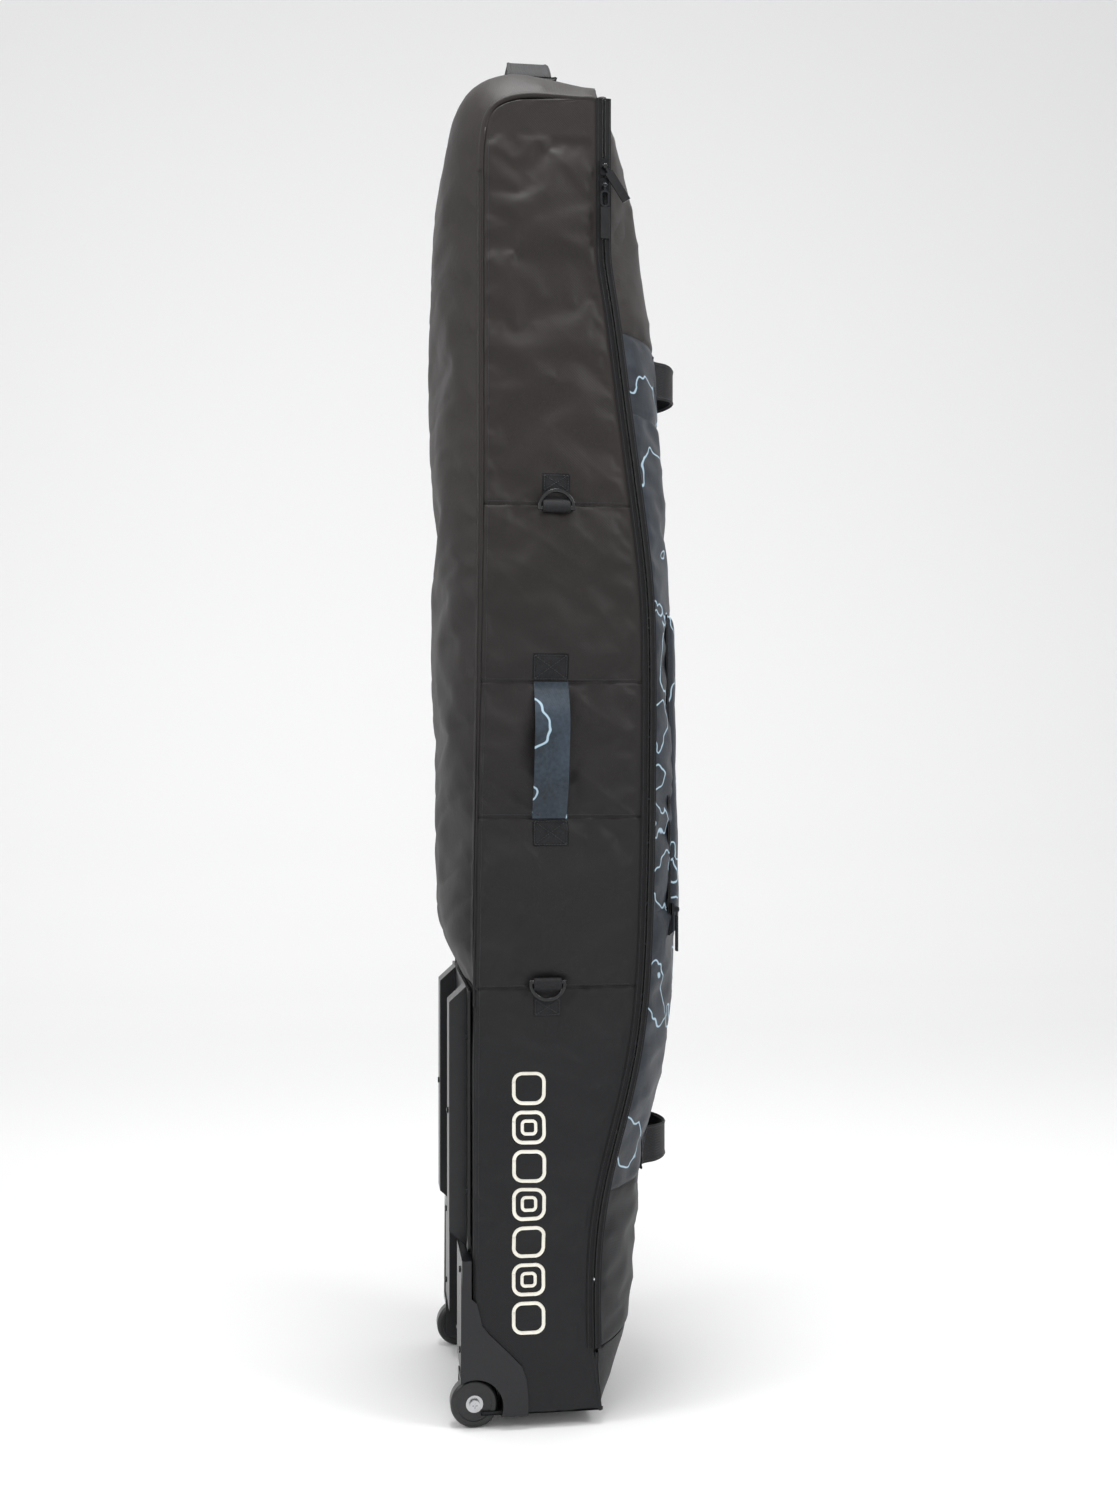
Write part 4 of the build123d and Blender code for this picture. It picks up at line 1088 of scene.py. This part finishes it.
def build_front_handle(level):
    low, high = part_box(f"front_handle_{level}")
    z0, z1 = low[2], high[2]
    middle = (z0 + z1) / 2
    half = high[0]
    skin = lid_skin(1.0 * MM)
    front = low[1]
    patch = 26 * MM
    foot = [skin((x, middle))[0] for x in (-half - patch, -half + 2 * MM, half - 2 * MM, half + patch)]
    places = [foot[0], foot[1], (-half + 14 * MM, (foot[1][1] + front) / 2, middle),
              (-half + 38 * MM, front + 4 * MM, middle), (0, front + 0.5 * MM, middle),
              (half - 38 * MM, front + 4 * MM, middle), (half - 14 * MM, (foot[2][1] + front) / 2, middle),
              foot[2], foot[3]]
    path = smooth_path(places, 90)
    share = np.abs(path[:, 0]) / (half + patch)
    width = (z1 - z0) * (1 - 0.10 * bell(share, 0.45))
    strap = ribbon(f"front_handle_strap_{level}", path, (0, 0, 1), width, 4.2 * MM, "webbing",
                   edge=0.8 * MM)
    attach(strap, "lid")
    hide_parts(f"front_handle_{level}")
    strokes = []
    for way in (-1, 1):
        a, b = sorted((way * (half + 3 * MM), way * (half + patch - 3 * MM)))
        strokes += box_and_cross((a, z0 + 5 * MM), (b, z1 - 5 * MM))
    threads = sew(f"front_handle_stitching_{level}", lid_skin(1.4 * MM), strokes)
    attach(threads, "lid")
    out = -normals(np.stack([path, path + [0, 0, MM]], axis=1))[:, 0]
    out *= np.sign(-out[:, 1:2])
    edges = []
    for z in (-1, 1):
        edges.append([p + [0, 0, z * (w / 2 - 3.4 * MM)] + o * 0.25 * MM
                      for p, w, o in zip(path, width, out)])
    places, along, ups = [], [], []
    for line in edges:
        for p, q, o in list(zip(line, line[1:], out))[12:-12]:
            places.append((p + q) / 2)
            along.append((q - p) * 0.7)
            ups.append(o)
    edge_threads = bars(f"front_handle_edging_{level}", places, along, ups, (2.2 * MM, 0.7 * MM, 0.5 * MM),
                        MATERIALS["thread"])
    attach(edge_threads, "lid")


def crown_point(x, y, lift):
    """Point above the crown at (x, y)."""
    hit = cast(BACK, (x, y, 3.0), (0, 0, -1))
    return hit + np.array([0, 0, lift])


def build_top_handle():
    low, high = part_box("top_handle")
    middle = (low[1] + high[1]) / 2
    half, top = high[0], high[2] - 1.2 * MM
    patch = 30 * MM
    foot = [crown_point(x, middle, 4.0 * MM)
            for x in (-half - patch, -half + 3 * MM, half - 3 * MM, half + patch)]
    base = foot[1][2]
    places = [foot[0], foot[1], (-half + 13 * MM, middle, base + 0.45 * (top - base)),
              (-half + 36 * MM, middle, top - 3.5 * MM), (0, middle, top),
              (half - 36 * MM, middle, top - 3.5 * MM), (half - 13 * MM, middle, base + 0.45 * (top - base)),
              foot[2], foot[3]]
    path = smooth_path(places, 90)
    share = np.abs(path[:, 0]) / half
    width = (high[1] - low[1]) + 15 * MM * np.clip(share - 0.25, 0, 1)
    strap = ribbon("top_handle_strap", path, (0, 1, 0), width, 3.4 * MM, "webbing", edge=0.7 * MM)
    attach(strap, "shell")
    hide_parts("top_handle")


def build_ring_loops():
    """Webbing wrapped round each ring's bar, with its tail sewn to the side panel."""
    width, patch = 36 * MM, 24 * MM
    for side_name, side in SIDES.items():
        for level, way in (("upper", 1), ("lower", -1)):
            low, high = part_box(f"d_ring_{level}_{side_name}")
            y = (low[1] + high[1]) / 2
            bar = (low[2] + 2.5 * MM) if way > 0 else (high[2] - 2.5 * MM)
            out = abs(low[0] + high[0]) / 2
            far = bar + way * 45 * MM
            radius = 4.0 * MM
            wrap = [(out + radius * math.cos(t), bar - way * radius * math.sin(t))
                    for t in np.linspace(math.pi, 0, 9)]
            points = [(SIDE_X + 0.9 * MM, far), (SIDE_X + 0.9 * MM, bar + way * 10 * MM),
                      (SIDE_X + 1.2 * MM, bar + way * 3 * MM), *wrap[2:],
                      (out + 2.6 * MM, bar + way * 6 * MM), (SIDE_X + 3.4 * MM, bar + way * 13 * MM)]
            path = smooth_path([(side * x, y, z) for x, z in points], 70)
            across = (0, side * way, 0)
            loop = ribbon(f"ring_loop_{level}_{side_name}", path, across, width, 1.3 * MM, "webbing",
                          columns=7)
            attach(loop, "shell")
            a, b = sorted((far, far - way * patch))
            sew_patch(f"ring_patch_{level}_{side_name}", side, y, width, a, b)
    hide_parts("d_ring_loops")


# ---- pocket, straps and print --------------------------------------------------------


def build_pocket():
    low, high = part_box("pocket_panel")
    thick = 8 * MM
    xs = steps(low[0], high[0], 5 * MM, (low[0], high[0]), 1.2 * MM, 12 * MM)
    zs = steps(low[2], high[2], 5 * MM, (low[2], high[2]), 1.2 * MM, 12 * MM)
    skin = lid_skin(0.0)
    coarse_x, coarse_z = np.linspace(low[0], high[0], 26), np.linspace(low[2], high[2], 50)
    coarse = np.array([[skin((x, z))[0] for x in coarse_x] for z in coarse_z])
    base = spread(coarse, (zs - low[2]) / (high[2] - low[2]), (xs - low[0]) / (high[0] - low[0]))
    x, z = base[..., 0], base[..., 2]
    rim = np.minimum(np.minimum(x - low[0], high[0] - x), np.minimum(z - low[2], high[2] - z))
    lift = thick * (1 - np.exp(-np.maximum(rim, 0) / (5 * MM))) ** 0.7 + 1.2 * MM
    puff = soft_noise(base, 0.07, 81.0) * 1.8 * MM + soft_noise(base, 0.025, 82.0) * 0.5 * MM
    fold = creases(base, (0.15, (0.5, 0, 0.86)), (0.05, (0.86, 0, -0.5)), 83.0) * 1.4 * MM
    out = -normals(base)
    grid = base + out * (lift + (puff - fold) * np.clip(rim / (16 * MM), 0, 1))[..., None]
    piece = slab("pocket_fabric", grid, 1.2 * MM, MATERIALS["printed"], outward=-1,
                 base=base + out * 1.4 * MM)
    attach(piece, "lid")
    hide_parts("pocket_panel")
    low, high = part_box("pocket_zip_tape")
    middle = (low[0] + high[0]) / 2
    path = np.array([skin((middle, z))[0] for z in np.linspace(low[2], high[2], 90)])
    out = np.array([skin((middle, z))[1] for z in np.linspace(low[2], high[2], 90)])
    across = np.cross(np.gradient(path, axis=0), out)
    across /= np.linalg.norm(across, axis=1, keepdims=True)
    tape = ribbon("pocket_zip_cloth", path + out * 2.0 * MM, -across, 15 * MM, 1.0 * MM, "tape",
                  edge=0.2 * MM)
    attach(tape, "lid")
    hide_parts("pocket_zip_tape")
    count = int((high[2] - low[2]) / (1.7 * MM))
    rows = np.linspace(0, 1, count)
    teeth_at = spread((path + out * 2.6 * MM)[:, None].repeat(2, axis=1), rows, [0, 1])[:, 0]
    ups = spread(out[:, None].repeat(2, axis=1), rows, [0, 1])[:, 0]
    teeth = bars("pocket_zip_teeth", teeth_at, [(1, 0, 0)] * count, ups, (4.4 * MM, 1.1 * MM, 1.0 * MM),
                 MATERIALS["coil"])
    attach(teeth, "lid")


def build_tie_straps():
    for level in ("upper", "lower"):
        low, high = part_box(f"tie_strap_{level}")
        middle = (low[2] + high[2]) / 2
        xs = np.linspace(low[0], high[0], 31)
        slack = 2 * MM * (1 - (xs / high[0]) ** 2) * np.abs(np.sin(xs / (24 * MM)))
        places = [(x, low[1] + 0.6 * MM - loose, middle) for x, loose in zip(xs, slack)]
        strap = ribbon(f"tie_webbing_{level}", places, (0, 0, 1), high[2] - low[2], 1.6 * MM, "webbing")
        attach(strap, "shell")
        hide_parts(f"tie_strap_{level}")


def rounded_ring(width, height, radius, count=40):
    """Places round a rounded rectangle centred on the origin, and their outward directions."""
    places, ways = [], []
    for number in range(count):
        angle = 2 * math.pi * (number + 0.5) / count
        c, s = math.cos(angle), math.sin(angle)
        corner = np.array([math.copysign(width / 2 - radius, c), math.copysign(height / 2 - radius, s)])
        places.append(corner + radius * np.array([c, s]))
        ways.append((c, s))
    return np.array(places), np.array(ways)


def print_ring(name, skin, centre, size, stroke, outward, body):
    """Printed outline of a rounded rectangle on a surface."""
    places, ways = rounded_ring(size[0], size[1], min(size) * 0.32)
    places = np.concatenate([places, places[:1]])
    ways = np.concatenate([ways, ways[:1]])
    thirds = np.linspace(0, 1, 4)[:-1, None]
    dense, turned = (
        np.concatenate([*[a + (b - a) * thirds for a, b in zip(line, line[1:])], line[:1]])
        for line in (places, ways)
    )
    grid = np.array([[skin(tuple(np.array(centre) + p - w * stroke * share))[0] for share in (0, 0.5, 1)]
                     for p, w in zip(dense, turned)])
    piece = slab(name, grid, 0.3 * MM, MATERIALS["ink"], outward=outward)
    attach(piece, body)


def build_print_marks():
    """Plain rounded outlines printed up the side panel, and one on the lid."""
    marks = bpy.context.scene.bag
    skin = side_skin(-1, 0.25 * MM)
    middle = (marks.mark_front + marks.mark_rear) / 2
    wide = marks.mark_rear - marks.mark_front
    pitch = (marks.mark_high - marks.mark_low) / marks.mark_count
    for number in range(marks.mark_count):
        z = marks.mark_low + (number + 0.5) * pitch
        print_ring(f"side_mark_{number}", skin, (middle, z), (wide, pitch - 7 * MM), 4.5 * MM, 1, "shell")
        if number % 2:
            print_ring(f"side_mark_inner_{number}", skin, (middle, z), (wide - 22 * MM, pitch - 29 * MM),
                       4.0 * MM, 1, "shell")
    lid = lid_skin(1.6 * MM)
    tall = marks.badge_high - marks.badge_low
    print_ring("lid_mark", lid, (0, marks.badge_low + tall / 2), (0.11, tall), 9 * MM, -1, "lid")


FINISHES = {
    "axle_bolts": "nickel", "back_stiffener": "board", "base_board": "board", "plate_screws": "screw",
    "pocket_pull": "acetal", "pocket_slider": "slider", "skid_plate": "housing", "tie_buckles": "acetal",
    "zip_pull_upper": "acetal", "zip_ring_lower": "gunmetal", "zip_slider_lower": "slider",
    "zip_slider_upper": "slider", "zip_tab_lower": "acetal",
}
PAIRED = {
    "skid_runner": "housing", "wheel_housing": "housing", "tyre": "tyre", "wheel_bearings": "nickel",
    "wheel_hub": "hub", "d_ring_lower": "acetal", "d_ring_upper": "acetal",
}


def paint_hard_parts():
    for name, finish in FINISHES.items():
        paint(name, finish)
    for stem, finish in PAIRED.items():
        for side in SIDES:
            paint(f"{stem}_{side}", finish)


# ---- stage ---------------------------------------------------------------------------


def build_stage():
    scene = bpy.context.scene
    # a pale seamless floor that curves up into its backdrop
    run = [(-9.0, 0.0), (2.2, 0.0), (2.9, 0.12), (3.3, 0.5), (3.5, 1.2), (3.5, 6.0)]
    line = smooth_path([(a, 0, b) for a, b in run], 60)
    line[:, 2] = np.maximum(line[:, 2], 0)
    rows = np.stack([line + [0, y, 0] for y in (-16.0, 16.0)], axis=1)
    index = np.arange(120).reshape(60, 2)
    faces = np.stack([index[:-1, 0], index[1:, 0], index[1:, 1], index[:-1, 1]], axis=-1)
    paper, _, shader = new_material("painted studio board", Roughness=0.9)
    shader.inputs["Base Color"].default_value = linear("#f4f4f4")
    floor = mesh_object("studio_floor", rows.reshape(-1, 3), faces[:, ::-1], paper)

    camera = bpy.data.objects.new("camera", bpy.data.cameras.new("camera"))
    camera.data.sensor_fit = "VERTICAL"
    camera.data.sensor_height = 36.0
    camera.data.lens = 39.36
    turn = math.radians(7.5)
    camera.location = (-2.2606, 0.2540, 0.871)
    camera.rotation_euler = (math.pi / 2, 0, -math.pi / 2 - turn)
    scene.collection.objects.link(camera)
    scene.camera = camera

    for name, place_at, aim, size, power in (
        ("key", (-1.6, -2.2, 2.6), (0, 0, 0.9), 1.1, 31),
        ("rear", (-1.0, 2.6, 1.9), (0, 0, 0.9), 1.0, 20),
        ("top", (-0.4, 0.1, 3.4), (0, 0, 0.9), 1.0, 46),
        ("fill", (-3.2, 0.4, 1.2), (0, 0, 0.8), 1.6, 6),
    ):
        light = bpy.data.lights.new(name, "AREA")
        light.shape = "DISK"
        light.size = size
        light.energy = power
        lamp = bpy.data.objects.new(name, light)
        lamp.location = place_at
        lamp.rotation_euler = (Vector(aim) - Vector(place_at)).to_track_quat("-Z", "Y").to_euler()
        scene.collection.objects.link(lamp)
    world = bpy.data.worlds.new("studio")
    world.use_nodes = True
    back = world.node_tree.nodes["Background"]
    back.inputs["Color"].default_value = linear("#f5f5f6")
    back.inputs["Strength"].default_value = 0.78
    scene.world = world
    scene.view_settings.view_transform = "Standard"


# ---- add-on --------------------------------------------------------------------------


def colour(name, code, description):
    return bpy.props.FloatVectorProperty(name=name, description=description, subtype="COLOR", size=4,
                                         min=0, max=1, default=linear(code))


def length(name, value, description):
    return bpy.props.FloatProperty(name=name, description=description, default=value, unit="LENGTH")


class BagSettings(bpy.types.PropertyGroup):
    # painted light and shade: the cloth is darker near the floor and lighter near the crown as light falls
    # from above
    cloth_shaded_low: colour("Cloth at the base", "#0f1013", "Pack cloth near the floor")
    cloth_lit_high: colour("Cloth at the top", "#26211f", "Pack cloth near the crown")
    slate_dark: colour("Print, dark", "#0e1318", "Darker tone of the print's ground")
    slate_light: colour("Print, light", "#252e39", "Lighter tone of the print's ground")
    line_blue: colour("Print lines", "#a3bccb", "Contour lines of the print")
    strap_dark: colour("Handle, dark", "#151b22", "Darker tone of the side handles")
    strap_light: colour("Handle, light", "#34414e", "Lighter tone of the side handles")
    webbing_dark: colour("Webbing, dark", "#0e0f11", "Darker tone of plain webbing")
    webbing_light: colour("Webbing, light", "#1a1b1e", "Lighter tone of plain webbing")
    lower_seam: length("Lower lid seam", 0.660, "Height of the lid's lower cross seam")
    upper_seam: length("Upper lid seam", 1.309, "Height of the lid's upper cross seam")
    mark_low: length("Print marks start", 0.118, "Height where the printed marks start")
    mark_high: length("Print marks end", 0.462, "Height where the printed marks end")
    mark_front: length("Print marks front", -0.004, "Front edge of the printed marks")
    mark_rear: length("Print marks rear", 0.039, "Rear edge of the printed marks")
    mark_count: bpy.props.IntProperty(name="Print marks", description="Number of printed marks", default=7)
    badge_low: length("Badge low", 1.456, "Lower edge of the lid's printed badge")
    badge_high: length("Badge high", 1.518, "Upper edge of the lid's printed badge")


class BuildMaterials(bpy.types.Operator):
    """Make the finishes and put them on the hard parts"""

    bl_idname = "bag.materials"
    bl_label = "Materials"

    def execute(self, context):
        make_materials(context.scene.bag)
        paint_hard_parts()
        return {"FINISHED"}


class BuildSides(bpy.types.Operator):
    """Sew the two side panels"""

    bl_idname = "bag.sides"
    bl_label = "Side panels"

    def execute(self, context):
        for name, side in SIDES.items():
            build_side(side, name)
        return {"FINISHED"}


class BuildShell(bpy.types.Operator):
    """Sew the padded back, the foot, the base and the piping"""

    bl_idname = "bag.shell"
    bl_label = "Back and base"

    def execute(self, context):
        build_back()
        build_boot()
        build_base()
        build_piping()
        return {"FINISHED"}


class BuildLid(bpy.types.Operator):
    """Sew the lid, its far return and the fold it swings on"""

    bl_idname = "bag.lid"
    bl_label = "Lid"

    def execute(self, context):
        build_lid()
        build_far_side()
        return {"FINISHED"}


class BuildZip(bpy.types.Operator):
    """Lay the main zip's tapes and teeth"""

    bl_idname = "bag.zip"
    bl_label = "Main zip"

    def execute(self, context):
        build_zip()
        return {"FINISHED"}


class BuildHandles(bpy.types.Operator):
    """Sew the handles and the ring loops"""

    bl_idname = "bag.handles"
    bl_label = "Handles"

    def execute(self, context):
        for name, side in SIDES.items():
            build_side_handle(side, name)
        for level in ("upper", "lower"):
            build_front_handle(level)
        build_top_handle()
        build_ring_loops()
        return {"FINISHED"}


class BuildPocket(bpy.types.Operator):
    """Sew the lid's pocket with its zip"""

    bl_idname = "bag.pocket"
    bl_label = "Pocket"

    def execute(self, context):
        build_pocket()
        return {"FINISHED"}


class BuildTrim(bpy.types.Operator):
    """Fit the inner straps and the printed marks"""

    bl_idname = "bag.trim"
    bl_label = "Straps and print"

    def execute(self, context):
        build_tie_straps()
        build_print_marks()
        return {"FINISHED"}


class BuildStage(bpy.types.Operator):
    """Set up the floor, camera and lights"""

    bl_idname = "bag.stage"
    bl_label = "Stage"

    def execute(self, context):
        build_stage()
        return {"FINISHED"}


OPERATORS = (BuildMaterials, BuildSides, BuildShell, BuildLid, BuildZip, BuildHandles, BuildPocket, BuildTrim,
             BuildStage)


class BagPanel(bpy.types.Panel):
    bl_idname = "BAG_PT_panel"
    bl_label = "Snowboard bag"
    bl_space_type = "VIEW_3D"
    bl_region_type = "UI"
    bl_category = "Bag"

    def draw(self, context):
        for name in BagSettings.__annotations__:
            self.layout.prop(context.scene.bag, name)
        for operator in OPERATORS:
            self.layout.operator(operator.bl_idname)


CLASSES = (BagSettings, *OPERATORS, BagPanel)


def register():
    for item in CLASSES:
        bpy.utils.register_class(item)
    bpy.types.Scene.bag = bpy.props.PointerProperty(type=BagSettings)


def unregister():
    del bpy.types.Scene.bag
    for item in reversed(CLASSES):
        bpy.utils.unregister_class(item)


def main():
    register()
    for operator in OPERATORS:
        group, name = operator.bl_idname.split(".")
        getattr(getattr(bpy.ops, group), name)()


if __name__ == "__main__":
    main()
